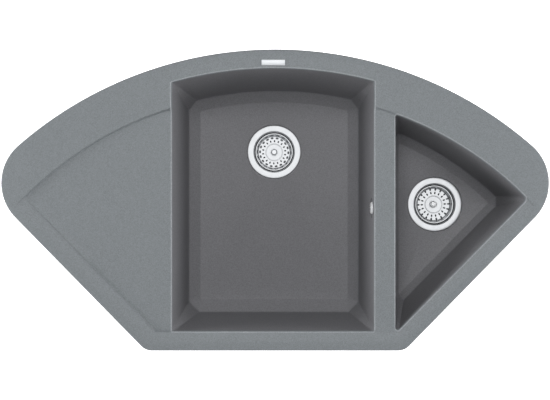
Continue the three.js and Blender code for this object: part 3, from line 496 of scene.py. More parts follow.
STEP_R, STEP_Y = 683.1, -184.2
MAIN_LEVELS = level_table(
    "z left right front back_y back_r corner flat",
    rim=(7, 200.8, 192.3, 37.2, -196.6, 743.7, 2.5, 0),
    foot=(-162, 183.1, 177.6, 53.7, -175, 698.9, 22, 1),
    crease=(-178, 159.6, 154.9, 79.9, -175, 675.7, 3, 0),
)
HALF_LEVELS = level_table(
    "z left side arc apex right top flat",
    rim=(7, 233.3, 35.8, 683.1, 4, 8, 3, 0),
    foot=(-133, 242.3, 44.8, 668.2, 15, 14.5, 12, 1),
    crease=(-147, 260, 58.8, 650, 1.5, 2.5, 2.5, 0),
)
MAIN_COUNTS, HALF_COUNTS, HALF_CORNER_COUNT = (52, 60, 56, 60), (56, 48, 56), 10


def main_outline(size, grow=0.0):
    edges = [
        straight(0, size["front"] - grow, 1, 0), straight(size["right"] + grow, 0, 0, 1),
        rounded(0, size["back_y"], size["back_r"] + grow),
        straight(-size["left"] - grow, 0, 0, -1),
    ]
    radii = [size["corner"] + grow] * 4
    flatness = size["flat"] * size["corner"] / radii[0]
    return outline(edges, radii, MAIN_COUNTS, flatness=flatness)


def half_outline(size, grow=0.0):
    edges = [
        straight(*side_base(size["side"] - grow), COS, SIN),
        rounded(0, STEP_Y, size["arc"] + grow), straight(size["left"] - grow, 0, 0, -1),
    ]
    radii = [size["apex"] + grow, size["right"] + grow, size["top"] + grow]
    flatness = size["flat"] * size["apex"] / radii[0]
    return outline(edges, radii, HALF_COUNTS, HALF_CORNER_COUNT, flatness)


# Each bowl: its outline, its levels and the middle of its drain.
BOWLS = {
    "main": (main_outline, MAIN_LEVELS, (-2.0, 395.0, -185.0)),
    "half": (half_outline, HALF_LEVELS, (336.9, 282.4, -152.0)),
}
for name, (ring_of, levels, drain) in BOWLS.items():
    print(name, "ring of", len(ring_of(levels["rim"])), "points")

# %% [markdown]
# ## Heights of the top
# Seen from above, the top is one surface: flat deck and outer rim, a band that slopes down
# to the bowls, a sunken drainer and strip, and a raised deck behind an arc. A function gives
# the height at any place, with each step rounded over, and the mesh follows it.

# %% Height of the top at any place
DECK_Z = 10.0
CREASE_FRONT, CREASE_LEFT, CREASE_RIGHT = 17.6, 16.4, 14.5
BAND_FRONT, BAND_LEFT, BAND_RIGHT = 37.2, 39.4, 35.8
BAND_DROP = 3.0
DRAINER_LOW, DRAINER_HIGH, DRAINER_FAR = 3.0, 5.5, -485.8
STRIP_Z = 5.0
BACK_CREASE_R, BACK_CREASE_Y = 761.0, -192.8
FACET_RUN, FACET_LEFT, FACET_RIGHT = 23.1, -202.8, 194.3
STEP_WIDTH, RECESS_WIDTH, FACET_WIDTH = 3.2, 3.6, 2.4
BEHIND_BOWLS = 500


def eased(distance, width):
    t = np.clip(distance / width + 0.5, 0, 1)
    return t * t * (3 - 2 * t)


def inset_left(x, y):
    return (x + FRONT_HALF) * SIN + y * COS


def inset_right(x, y):
    return (FRONT_HALF - x) * SIN + y * COS


def top_height(x, y):
    from_left, from_right = inset_left(x, y), inset_right(x, y)
    slope = np.minimum.reduce([
        (y - CREASE_FRONT) / (BAND_FRONT - CREASE_FRONT),
        (from_left - CREASE_LEFT) / (BAND_LEFT - CREASE_LEFT),
        (from_right - CREASE_RIGHT) / (BAND_RIGHT - CREASE_RIGHT),
    ])
    band = DECK_Z - BAND_DROP * np.clip(slope, 0, 1)
    bowl_left = MAIN_LEVELS["rim"]["left"]
    rise = (DRAINER_HIGH - DRAINER_LOW) / (bowl_left + DRAINER_FAR)
    drainer = DRAINER_LOW + (x + bowl_left) * rise
    in_drainer = eased(np.minimum(y - BAND_FRONT, from_left - BAND_LEFT), RECESS_WIDTH)
    in_strip = eased(np.minimum(y - BAND_FRONT, from_right - BAND_RIGHT), RECESS_WIDTH)
    ahead_left = band + (drainer - band) * in_drainer
    ahead_right = band + (STRIP_Z - band) * in_strip
    ahead = np.where(x < 0, ahead_left, ahead_right)
    in_front = eased(STEP_R - np.hypot(x, y - STEP_Y), STEP_WIDTH)
    height = DECK_Z + (ahead - DECK_Z) * in_front
    fall = np.maximum(0, BACK_CREASE_R - np.hypot(x, y - BACK_CREASE_Y)) * BAND_DROP / FACET_RUN
    behind = eased(x - FACET_LEFT, FACET_WIDTH) * eased(FACET_RIGHT - x, FACET_WIDTH)
    return height - np.where(y > BEHIND_BOWLS, fall * behind, 0)


sample = np.array([(-400, 300), (210, 300), (0, 25), (0, 575), (0, 560), (-300, 480)], float)
print("heights", top_height(*sample.T).round(2))

# %% [markdown]
# ## Rings of a bowl
# A bowl is a stack of rings. It starts on the deck with a rounded lip, goes down the leaning
# wall, turns round the foot into a sloping border, crosses a soft crease, and runs over the
# floor to the drain hole.

# %% Rings inside a bowl
WALL = 9.0
LIP_R, LIP_STEPS = 2.6, 6
FLANGE_R, HOLE_R, RECESS_DEPTH = 57.0, 45.5, 2.5
FLOOR_END = FLANGE_R + 5
WALL_STEPS, FLOOR_STEPS = 6, 10
# How far the rounded turns at foot and crease reach along the wall, border and floor.
FOOT_TURN, CREASE_TURN = 3.5, 1.2
# From the floor down through the drain hole: radius and depth.
DRAIN_STEPS = (
    (FLANGE_R + 1.6, 0), (FLANGE_R + 1.15, 0.15), (FLANGE_R + 1, 0.6),
    (FLANGE_R + 1, RECESS_DEPTH), (HOLE_R + 0.6, RECESS_DEPTH),
    (HOLE_R, RECESS_DEPTH + 0.6), (HOLE_R, RECESS_DEPTH + WALL),
)


def on_circle(ring, drain, radius):
    """A ring's points moved to a circle round the drain, each straight towards its middle."""
    out = ring - np.array(drain[:2])
    return np.array(drain[:2]) + out / np.linalg.norm(out, axis=1)[:, None] * radius


def lifted(plan, z):
    return np.column_stack([plan, np.broadcast_to(z, len(plan))])


def curve_between(start, corner, end, steps):
    """Rings of a rounded turn from start to end, whose tangents meet in corner."""
    return [
        (1 - t) ** 2 * start + 2 * t * (1 - t) * corner + t * t * end
        for t in np.linspace(0, 1, steps + 1)
    ]


def unit_rows(steps):
    return steps / np.linalg.norm(steps, axis=1)[:, None]


def bowl_inside(name):
    ring_of, levels, drain = BOWLS[name]
    rim, foot, crease = (ring_of(levels[key]) for key in ("rim", "foot", "crease"))
    rim_z, foot_z, crease_z = (levels[key]["z"] for key in ("rim", "foot", "crease"))
    outward = ring_of(levels["rim"], 1.0) - rim

    def wall_at(z):
        z = np.broadcast_to(z, len(rim))
        return rim + (foot - rim) * ((rim_z - z) / (rim_z - foot_z))[:, None]

    lip_top = top_height(*(wall_at(rim_z) + outward * LIP_R).T)
    rings = []
    for a in np.linspace(0, math.pi / 2, LIP_STEPS):
        z = lip_top - LIP_R * (1 - math.cos(a))
        rings.append(lifted(wall_at(z) + outward * LIP_R * (1 - math.sin(a)), z))
    lip_end, wall_end = rings[-1][:, 2], foot_z + FOOT_TURN
    for t in np.linspace(0, 1, WALL_STEPS + 1)[1:-1]:
        z = lip_end + (wall_end - lip_end) * t
        rings.append(lifted(wall_at(z), z))
    foot_ring, crease_ring = lifted(foot, foot_z), lifted(crease, crease_z)
    floor_ring = lifted(on_circle(crease, drain, FLOOR_END), drain[2])
    border, floor_way = unit_rows(crease_ring - foot_ring), unit_rows(floor_ring - crease_ring)
    rings += curve_between(
        lifted(wall_at(wall_end), wall_end), foot_ring, foot_ring + border * FOOT_TURN, 6,
    )
    rings += curve_between(
        crease_ring - border * CREASE_TURN, crease_ring, crease_ring + floor_way * CREASE_TURN, 3,
    )
    start = rings[-1]
    for t in np.linspace(0, 1, FLOOR_STEPS + 1)[1:]:
        rings.append(start + (floor_ring - start) * t)
    for radius, depth in DRAIN_STEPS:
        rings.append(lifted(on_circle(crease, drain, radius), drain[2] - depth))
    return rings


inside = {name: bowl_inside(name) for name in BOWLS}
print("rings inside", {name: len(rings) for name, rings in inside.items()})

# %% [markdown]
# ## The outside of the shell
# Below the deck the bowl is a shell of even thickness. Its outside is a second stack of
# rings, one wall thickness out, with wider turns than inside. It runs from the drain back up
# to the underside of the deck.

# %% Rings outside a bowl
SHELL_STEPS = 5
# The turns' reach: shares of the floor and of the border, and a height up the wall.
FLOOR_SHARE, BORDER_SHARE, FOOT_SHARE, FOOT_HEIGHT = 0.1, 0.2, 0.45, 12


def bowl_outside(name):
    ring_of, levels, drain = BOWLS[name]
    under = drain[2] - RECESS_DEPTH - WALL
    rim_z, foot_z = levels["rim"]["z"], levels["foot"]["z"]
    rim, foot = ring_of(levels["rim"], WALL), ring_of(levels["foot"], WALL)
    crease = lifted(ring_of(levels["crease"], WALL / 2), levels["crease"]["z"] - WALL)
    plate = lifted(on_circle(crease[:, :2], drain, FLANGE_R + WALL), under)
    foot_ring, turn_end = lifted(foot, foot_z), foot_z + FOOT_HEIGHT

    def wall_at(z):
        return lifted(rim + (foot - rim) * (rim_z - z) / (rim_z - foot_z), z)

    rings = [plate]
    rings += curve_between(
        plate + (crease - plate) * (1 - FLOOR_SHARE), crease,
        crease + (foot_ring - crease) * BORDER_SHARE, 3,
    )
    rings += curve_between(
        crease + (foot_ring - crease) * (1 - FOOT_SHARE), foot_ring, wall_at(turn_end), 5,
    )
    rings += [wall_at(z) for z in np.linspace(turn_end, 0, SHELL_STEPS + 1)[1:]]
    return rings


outside = {name: bowl_outside(name) for name in BOWLS}
print("rings outside", {name: len(rings) for name, rings in outside.items()})

# %% [markdown]
# ## Lines that the top's mesh must follow
# A flat mesh in plan is cut into triangles between the outer edge and the two bowls. Wherever
# the height turns, several lines run side by side, so that a rounded step gets its
# triangles exactly where it bends.

# %% Lines in plan
STEP_REACH, SIDE_BACK, RECESS_BACK = 505, 330.0, 300
FACET_FRONT, FACET_BACK, FACET_SPACING = 505, 556, 3
CREASE_SOFT = 0.8


def arc_line(centre_y, radius, from_x, to_x, spacing=5.0):
    count = max(2, int(abs(to_x - from_x) / spacing))
    x = np.linspace(from_x, to_x, count + 1)
    return np.column_stack([x, centre_y + np.sqrt(radius ** 2 - x ** 2)])


def straight_line(start, end, spacing=5.0):
    start, end = np.array(start, float), np.array(end, float)
    count = max(1, int(np.linalg.norm(end - start) / spacing))
    return start + (end - start) * np.linspace(0, 1, count + 1)[:, None]


def side_x(y, inset):
    return FRONT_HALF + y / math.tan(SIDE_ANGLE) - inset / SIN


def inner_path(front, left, right, back=SIDE_BACK):
    """Along the left side, the front and the right side, each moved in by its own inset."""
    corners = [
        (-side_x(back, left), back), (-side_x(front, left), front),
        (side_x(front, right), front), (side_x(back, right), back),
    ]
    return np.vstack([straight_line(a, b) for a, b in zip(corners, corners[1:])])


def side_by_side(width, steps=4):
    return np.linspace(-width / 2, width / 2, steps + 1)


def lines_of_the_top():
    lines = []
    for d in side_by_side(STEP_WIDTH):
        lines.append(arc_line(STEP_Y, STEP_R - d, -STEP_REACH, STEP_REACH))
    for d in (-CREASE_SOFT, CREASE_SOFT):
        lines.append(inner_path(CREASE_FRONT + d, CREASE_LEFT + d, CREASE_RIGHT + d))
        lines.append(arc_line(BACK_CREASE_Y, BACK_CREASE_R + d, FACET_LEFT, FACET_RIGHT))
    for d in side_by_side(RECESS_WIDTH):
        lines.append(inner_path(BAND_FRONT + d, BAND_LEFT + d, BAND_RIGHT + d, RECESS_BACK))
    for x in (FACET_LEFT, FACET_RIGHT):
        for d in side_by_side(FACET_WIDTH, 3):
            ends = (x + d, FACET_FRONT), (x + d, FACET_BACK)
            lines.append(straight_line(*ends, FACET_SPACING))
    for sign, crease, band in ((-1, CREASE_LEFT, BAND_LEFT), (1, CREASE_RIGHT, BAND_RIGHT)):
        lines.append(straight_line(
            (sign * side_x(CREASE_FRONT, crease), CREASE_FRONT),
            (sign * side_x(BAND_FRONT, band), BAND_FRONT),
        ))
    return lines


print("lines", len(lines_of_the_top()))

# %% [markdown]
# ## Clear of the loops
# A line stops a little short of a bowl or the outer edge, because points that nearly touch
# make slivers. For each point two things are asked: on which side of every loop it lies, and
# how far away.

# %% Clear of the loops
EDGE_ROUND, LINE_CLEAR = 3.0, 0.9


def inside_loop(points, loop):
    """Whether points lie inside a closed loop, by counting crossings."""
    x, y = points[:, 0][:, None], points[:, 1][:, None]
    ax, ay = loop[:, 0], loop[:, 1]
    bx, by = np.roll(ax, -1), np.roll(ay, -1)
    spans = (ay > y) != (by > y)
    with np.errstate(divide="ignore", invalid="ignore"):
        at = ax + (y - ay) * (bx - ax) / (by - ay)
    return (np.sum(spans & (x < at), axis=1) % 2) == 1


def distance_to_loop(points, loop):
    a, b = loop, np.roll(loop, -1, axis=0)
    ab = b - a
    t = ((points[:, None] - a) * ab).sum(2) / (ab * ab).sum(1)
    nearest = a + np.clip(t, 0, 1)[:, :, None] * ab
    return np.linalg.norm(points[:, None] - nearest, axis=2).min(1)


top_loops = [outer_edge(EDGE_ROUND), inside["main"][0][:, :2], inside["half"][0][:, :2]]


def free_of_loops(points, clear):
    keep = inside_loop(points, top_loops[0])
    for loop in top_loops[1:]:
        keep &= ~inside_loop(points, loop)
    for loop in top_loops:
        keep &= distance_to_loop(points, loop) > clear
    return keep


deck_and_bowl = np.array([(0.0, 20.0), (0.0, 300.0)])
print("deck free, bowl not:", free_of_loops(deck_and_bowl, LINE_CLEAR))

# %% [markdown]
# ## Triangles between the lines
# A constrained Delaunay triangulation fills the plan between loops and lines and keeps each
# of them as edges. It also fills the bowls, so the triangles are sorted afterwards: only the
# one area that touches every loop is the sink's top. A coarse grid of extra points keeps the
# triangles from growing long and thin.

# %% Triangles between the lines
GRID_STEP, GRID_CLEAR = 16, 5
GRID_X, GRID_Y = (-528, 528), (2, 580)


def flat_mesh(loops, lines=(), extra=()):
    """Triangles of the area inside the first loop and outside the others."""
    points, edges = [], []
    for loop in loops:
        start = len(points)
        points += [tuple(p) for p in loop]
        edges += [(start + i, start + (i + 1) % len(loop)) for i in range(len(loop))]
    for path in lines:
        keep = free_of_loops(path, LINE_CLEAR)
        for i, p in enumerate(path):
            if not keep[i]:
                continue
            points.append(tuple(p))
            if i and keep[i - 1]:
                edges.append((len(points) - 2, len(points) - 1))
    points += [tuple(p) for p in extra]
    verts, _, faces, origin, _, _ = delaunay_2d_cdt(
        [Vector(p) for p in points], edges, [], 0, 1e-5,
    )
    made_from = {source: made for made, sources in enumerate(origin) for source in sources}
    fence, start = {}, 0
    for number, loop in enumerate(loops):
        ids = [made_from[start + i] for i in range(len(loop))]
        fence |= {frozenset(pair): number for pair in zip(ids, ids[1:] + ids[:1])}
        start += len(loop)
    return np.array([tuple(v) for v in verts]), between_loops(faces, fence, len(loops)), origin


def between_loops(faces, fence, loop_count):
    """The triangles of the one area that touches every loop. Fence names the loops' edges."""
    beside = {}
    for number, face in enumerate(faces):
        for pair in zip(face, face[1:] + face[:1]):
            beside.setdefault(frozenset(pair), []).append(number)
    free = set(range(len(faces)))
    while free:
        area, waiting, touched = [], [free.pop()], set()
        while waiting:
            number = waiting.pop()
            area.append(number)
            face = faces[number]
            for pair in map(frozenset, zip(face, face[1:] + face[:1])):
                if pair in fence:
                    touched.add(fence[pair])
                    continue
                fresh = [other for other in beside[pair] if other in free]
                free.difference_update(fresh)
                waiting += fresh
        if len(touched) == loop_count:
            return np.array([faces[number] for number in area])
    raise ValueError("no area touches every loop")


def grid_points():
    x, y = np.meshgrid(np.arange(*GRID_X, GRID_STEP), np.arange(*GRID_Y, GRID_STEP))
    points = np.column_stack([x.ravel(), y.ravel()])
    points = points[free_of_loops(points, GRID_CLEAR)]
    crowded = np.zeros(len(points), bool)
    for path in lines_of_the_top():
        gap = points[:, None] - path
        crowded |= np.linalg.norm(gap, axis=2).min(1) < GRID_CLEAR
    return points[~crowded]


top_plan, top_faces, top_origin = flat_mesh(top_loops, lines_of_the_top(), grid_points())
print("top", len(top_plan), "points", len(top_faces), "triangles")

# %% [markdown]
# ## A skin of rings
# Most shapes below are rings of points, each joined to the next with quads. A small class
# collects them. Faces that share points, instead of lying on equal ones, make a closed body
# that Booleans can work with.

# %% A skin of rings
class Skin:
    """Points and faces of one mesh, in millimetres from the front edge."""

    def __init__(self):
        self.points, self.faces = [], []

    def add_ring(self, ring):
        start = len(self.points)
        self.points += [tuple(p) for p in ring]
        return np.arange(start, start + len(ring))

    def join_rings(self, upper, lower):
        """Faces look outwards when lower lies to the right of the way round.

        A ring of one point is a pole.
        """
        count = max(len(upper), len(lower))
        upper, lower = (np.resize(ring, count) for ring in (upper, lower))
        quads = zip(upper, lower, np.roll(lower, -1), np.roll(upper, -1))
        self.faces += [tuple(dict.fromkeys(quad)) for quad in quads]

    def add_prism(self, plan, low, high):
        """A closed upright solid over a plan outline that runs counterclockwise."""
        bottom, top = (self.add_ring(lifted(plan, z)) for z in (low, high))
        self.join_rings(top, bottom)
        self.faces += [tuple(bottom[::-1]), tuple(top)]

    def add_flat(self, plan, faces, origin, loops, z_of, flip=False):
        """Adds a flat mesh, whose first points are those of rings that exist already."""
        known = np.concatenate(loops)
        index = np.full(len(plan), -1)
        for i, sources in enumerate(origin):
            hits = [s for s in sources if s < len(known)]
            if hits:
                index[i] = known[hits[0]]
        fresh = np.where(index < 0)[0]
        heights = z_of(plan[fresh, 0], plan[fresh, 1])
        index[fresh] = self.add_ring(np.column_stack([plan[fresh], heights]))
        order = (0, 2, 1) if flip else (0, 1, 2)
        self.faces += [tuple(index[f[list(order)]]) for f in faces]

    def to_object(self, name):
        mesh = bpy.data.meshes.new(name)
        placed = np.array(self.points)
        placed[:, 1] -= SEAT_INSET
        mesh.from_pydata((placed / 1000).tolist(), [], [[int(i) for i in f] for f in self.faces])
        mesh.validate()
        return mesh_object(name, mesh)


block = Skin()
block.add_prism(np.array([(0, 0), (9, 0), (9, 9), (0, 9)]), 0, 9)
print("a block has", len(block.faces), "faces")

# %% [markdown]
# ## One closed skin
# The sink's skin starts with the top, goes over the rounded outer edge to the flat
# underside, and down each bowl, through the drain hole and up the outside of its shell.

# %% Sew the skin together
# The lower arris of the outer edge: inset and height.
UNDER_EDGE = [(0, 1.0), (0.3, 0.3), (1.0, 0.0)]


def moulding_skin():
    skin = Skin()
    profile = [
        (EDGE_ROUND * (1 - math.sin(a)), DECK_Z - EDGE_ROUND * (1 - math.cos(a)))
        for a in np.linspace(0, math.pi / 2, 7)
    ] + UNDER_EDGE
    edge = [skin.add_ring(lifted(outer_edge(inset), z)) for inset, z in profile]
    for upper, lower in zip(edge, edge[1:]):
        skin.join_rings(upper, lower)
    tops, bottoms = [edge[0]], [edge[-1]]
    for name in BOWLS:
        rings = [skin.add_ring(ring) for ring in inside[name] + outside[name]]
        for upper, lower in zip(rings, rings[1:]):
            skin.join_rings(lower, upper)
        tops.append(rings[0])
        bottoms.append(rings[-1])
    skin.add_flat(top_plan, top_faces, top_origin, tops, top_height)
    under = flat_mesh([np.array(skin.points)[ring][:, :2] for ring in bottoms])
    skin.add_flat(*under, bottoms, lambda x, y: np.zeros(len(x)), flip=True)
    return skin


def mesh_report(made):
    """Prints what a closed mesh should have: no open edge, and a volume above zero."""
    work = bmesh.new()
    work.from_mesh(made.data)
    open_edges = sum(1 for e in work.edges if not e.is_manifold)
    volume = work.calc_volume(signed=True)
    work.free()
    print(made.name, "faces", len(made.data.polygons), "open edges", open_edges,
          "litres", round(volume * 1000, 3))


sink = moulding_skin().to_object("sink")
mesh_report(sink)

# %% [markdown]
# ## What is moulded on below, and what is cut
# Below the rim hang a rib that drops into the worktop's cut-out, thicker plates under the
# drainer and the strip, a pad for the overflow and eight bosses for the clips' screws. A
# groove holds the sealing strip, and two blind recesses mark where a tap can be drilled
# through. Each is a simple solid that the Boolean modifier joins to the body or cuts away.

# %% Join and cut
def settle(piece, change):
    """Keeps the plain mesh that a modifier makes of a piece, and removes the modifier."""
    shape = piece.evaluated_get(bpy.context.evaluated_depsgraph_get())
    mesh = bpy.data.meshes.new_from_object(shape)
    piece.modifiers.remove(change)
    piece.data = mesh


def combine(base, tool, operation):
    """Joins a closed solid to another or cuts it away, and deletes it."""
    change = base.modifiers.new(operation, "BOOLEAN")
    change.operation, change.object, change.solver = operation, tool, "MANIFOLD"
    settle(base, change)
    bpy.data.objects.remove(tool, do_unlink=True)


def circle_plan(x, y, radius, count=48):
    a = np.linspace(0, 2 * math.pi, count, endpoint=False)
    return np.column_stack([x + radius * np.cos(a), y + radius * np.sin(a)])


def upright_ring(name, outer, inner, low, high):
    skin = Skin()
    plans = [(outer, high), (outer, low), (inner, low), (inner, high)]
    rings = [skin.add_ring(lifted(plan, z)) for plan, z in plans]
    for a, b in zip(rings, rings[1:] + rings[:1]):
        skin.join_rings(a, b)
    return skin.to_object(name)


print("a circle has", len(circle_plan(0, 0, 1)), "points")

# %% [markdown]
# ## Rib, plates, bosses and holes
# The clips' places on the back edge are read from the CAD model's own screws, so that both
# always agree. Everything that is joined reaches a little into the body, because a Boolean
# of two solids that only touch would leave a seam.

# %% Plates, rib and bosses
SKIRT_INSET, SKIRT_WALL, SKIRT_DEPTH = 24.0, 6.0, 12.0
PLATE_FRONT, PLATE_INSET, PLATE_RIGHT, PLATE_LEFT, PLATE_DEPTH = 29, 30, -204, -480, 6.0
STRIP_LEFT, STRIP_RIGHT, STRIP_FRONT, STRIP_BACK, STRIP_DEPTH = 196.0, 229.0, 40.0, 450.0, 5.0
BOSS_R, BOSS_DEPTH, CLIP_INSET, SIDE_CLIPS = 8.0, 26.0, 38.0, (70.0, 170.0, 270.0)
SCREW_HOLE_R, SCREW_TOP = 3.1, -4.0
TAP_R, TAP_TOP, TAP_X, TAP_INSET = 17.5, 6.0, 239.67, 40.0
SEAL_INSET, SEAL_WIDTH, SEAL_TOP = 10.0, 8.0, 2.0
BOND = 1.0


def on_back(x, inset):
    return BACK_Y + math.sqrt((BACK_R - inset) ** 2 - x * x)


clip_spots = [(-side_x(y, CLIP_INSET), y) for y in SIDE_CLIPS]
clip_boxes = [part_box(f"clip_screw_{i}") for i in range(4, 9)]
clip_spots += [
    ((low[0] + high[0]) * 500, (low[1] + high[1]) * 500 + SEAT_INSET) for low, high in clip_boxes
]
drainer_plan = np.vstack([
    [(-side_x(PLATE_FRONT, PLATE_INSET), PLATE_FRONT), (PLATE_RIGHT, PLATE_FRONT)],
    arc_line(STEP_Y, STEP_R + WALL, PLATE_RIGHT, PLATE_LEFT, 8),
])
strip_plan = np.array([
    (STRIP_LEFT, STRIP_FRONT), (STRIP_RIGHT, STRIP_FRONT),
    (STRIP_RIGHT, STRIP_BACK), (STRIP_LEFT, STRIP_BACK),
])
rib = upright_ring(
    "rib", outer_edge(SKIRT_INSET), outer_edge(SKIRT_INSET + SKIRT_WALL), -SKIRT_DEPTH, BOND,
)
plates = Skin()
plates.add_prism(drainer_plan, -PLATE_DEPTH, BOND)
plates.add_prism(strip_plan, -STRIP_DEPTH, BOND)
bosses, holes = Skin(), Skin()
for x, y in clip_spots:
    bosses.add_prism(circle_plan(x, y, BOSS_R), -BOSS_DEPTH, BOND)
    holes.add_prism(circle_plan(x, y, SCREW_HOLE_R, 24), -BOSS_DEPTH - BOND, SCREW_TOP)
for x in (-TAP_X, TAP_X):
    holes.add_prism(circle_plan(x, on_back(x, TAP_INSET), TAP_R, 64), -BOND, TAP_TOP)
groove = upright_ring(
    "groove", outer_edge(SEAL_INSET), outer_edge(SEAL_INSET + SEAL_WIDTH), -BOND, SEAL_TOP,
)
for tool in (rib, plates.to_object("plates"), bosses.to_object("bosses")):
    combine(sink, tool, "UNION")
for tool in (groove, holes.to_object("holes")):
    combine(sink, tool, "DIFFERENCE")
mesh_report(sink)

# %% [markdown]
# ## Turned and soft-edged pieces
# Most fittings are turned or moulded round: flanges, cups, seals, nuts, pipes. Half a
# section describes each one, as a row of [radius, height] corners. Every corner is rounded
# a little, because no real edge is sharp, and the section is turned about its axis.

# %% Turned solids
TURN_STEPS = 96
ON_AXIS = 1e-4
UP, RIGHT, BACK = (0, 0, 1), (1, 0, 0), (0, 1, 0)


def softened(section, radius, steps=3):
    """The section with its corners rounded as far as their sides allow."""
    section = [np.array(corner, float) for corner in section]
    result = []
    for before, corner, after in zip(section[-1:] + section, section, section[1:] + section[:1]):
        sides = [before - corner, after - corner]
        lengths = [np.linalg.norm(side) for side in sides]
        reach = min(radius, 0.45 * lengths[0], 0.45 * lengths[1])
        if corner[0] < ON_AXIS:
            result.append(corner)
            continue
        start, end = (corner + side / n * reach for side, n in zip(sides, lengths))
        result += curve_between(start, corner, end, steps)
    return result


def turned(name, section, centre, axis=UP, steps=TURN_STEPS):
    """A closed solid from a section, which is either closed or ends on the axis twice."""
    turn = np.array(Vector(UP).rotation_difference(Vector(axis)).to_matrix())
    around = np.linspace(0, 2 * math.pi, steps, endpoint=False)
    skin, rings = Skin(), []
    for radius, height in section:
        a = around if radius > ON_AXIS else around[:1]
        ring = np.column_stack([radius * np.cos(a), radius * np.sin(a), np.full(len(a), height)])
        rings.append(skin.add_ring(ring @ turn.T + np.array(centre)))
    if min(len(rings[0]), len(rings[-1])) > 1:
        rings.append(rings[0])
    for low, high in zip(rings, rings[1:]):
        if len(low) + len(high) > 2:
            skin.join_rings(high, low)
    return skin.to_object(name)


def rod(radius, start, end, centre, axis, soft=0.0, steps=TURN_STEPS):
    section = [[0, start], [radius, start], [radius, end], [0, end]]
    return turned("rod", softened(section, soft) if soft else section, centre, axis, steps)


print("softened corners", len(softened([[0, 0], [9, 0], [9, 9], [0, 9]], 1)))

# %% [markdown]
# ## Finish a piece
# Every piece ends the same way: its faces look outwards, it is shaded smooth except at real
# edges, it gets its finish, and it takes the place of one CAD node. It rides on that node's
# body, so that it moves as the joints say.

# %% Finish a piece
body_of = {
    node: body for body, members in frame["record"]["behaviour"]["bodies"].items()
    for node in members
}


def finished(piece, node, material=None, sharp=40):
    """Outward faces, smooth shading, the finish, and the node that the piece replaces."""
    work = bmesh.new()
    work.from_mesh(piece.data)
    bmesh.ops.recalc_face_normals(work, faces=work.faces)
    work.to_mesh(piece.data)
    work.free()
    piece.data.materials.clear()
    piece.data.materials.append(material or finish_of[node])
    for face in piece.data.polygons:
        face.use_smooth = True
    piece.data.set_sharp_from_angle(angle=math.radians(sharp))
    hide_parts(node)
    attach(piece, body_of[node])
    mesh_report(piece)


# %% [markdown]
# ## The overflow's recess
# A round seat is sunk into the bowl's right wall, with a pad behind it that keeps the wall
# thick enough, and a bore through both. Round it the wall is dished a little, so that water
# finds the cap: a flat ball, cut away, leaves just such a dish.

# %% The overflow's recess
OVERFLOW_Y, OVERFLOW_Z = 276.0, -22.0
PAD_R, PAD_PROUD, PAD_SUNK = 17, 2.5, 1
SEAT_R, SEAT_DEPTH, OVERFLOW_BORE = 13, 5.5, 11
DISH_LENGTH, DISH_HEIGHT = 20, 15
rim_level, foot_level = MAIN_LEVELS["rim"], MAIN_LEVELS["foot"]
wall_t = (rim_level["z"] - OVERFLOW_Z) / (rim_level["z"] - foot_level["z"])
OVERFLOW_WALL = rim_level["right"] + (foot_level["right"] - rim_level["right"]) * wall_t
overflow_at = (OVERFLOW_WALL, OVERFLOW_Y, OVERFLOW_Z)


def in_frame(place):
    """From millimetres behind the front edge to metres in the shared frame."""
    return [place[0] / 1000, (place[1] - SEAT_INSET) / 1000, place[2] / 1000]


def flat_ball(name, sizes, centre):
    work = bmesh.new()
    bmesh.ops.create_uvsphere(work, u_segments=64, v_segments=32, radius=1)
    stretch = Matrix.Diagonal((*(size / 1000 for size in sizes), 1))
    place = Matrix.Translation(in_frame(centre))
    bmesh.ops.transform(work, matrix=place @ stretch, verts=work.verts)
    ball = mesh_object(name, bpy.data.meshes.new(name))
    work.to_mesh(ball.data)
    work.free()
    return ball


combine(sink, rod(PAD_R, PAD_SUNK, WALL + PAD_PROUD, overflow_at, RIGHT), "UNION")
for tool in (
    flat_ball("dish", (SEAT_DEPTH, DISH_LENGTH, DISH_HEIGHT), overflow_at),
    rod(SEAT_R, -WALL, SEAT_DEPTH, overflow_at, RIGHT, soft=1),
    rod(OVERFLOW_BORE, -WALL, WALL * 2, overflow_at, RIGHT),
):
    combine(sink, tool, "DIFFERENCE")
mesh_report(sink)

# %% [markdown]
# ## Painted highlight on the lips
# The bowls' rounded lips catch a thin line of light, which is painted into the material as a
# paler colour. Shading by curvature would smear it over the deck's large triangles. Instead the
# points that still lie on the lips' own rings, after all the cutting, are marked with an
# attribute for the material.

# %% Mark the lips
LIP_RINGS, SAME_POINT, SINK_SHARP = slice(1, 4), 0.02, 24


def mark_lip_highlight(piece, rings):
    """Sets the lip attribute to 1 at points that lie on the rings, and to 0 elsewhere."""
    on_lip = np.vstack(rings)
    found = KDTree(len(on_lip))
    for i, (x, y, z) in enumerate(on_lip):
        found.insert((x, y - SEAT_INSET, z), i)
    found.balance()
    marks = [float(found.find(v.co * 1000)[2] < SAME_POINT) for v in piece.data.vertices]
    piece.data.attributes.new("lip", "FLOAT", "POINT").data.foreach_set("value", marks)
    print("points on the lips", int(sum(marks)), "of", len(on_lip))


# The marked points carry the lips' painted highlight.
mark_lip_highlight(sink, [ring for name in BOWLS for ring in inside[name][LIP_RINGS]])
finished(sink, "sink_body", sharp=SINK_SHARP)
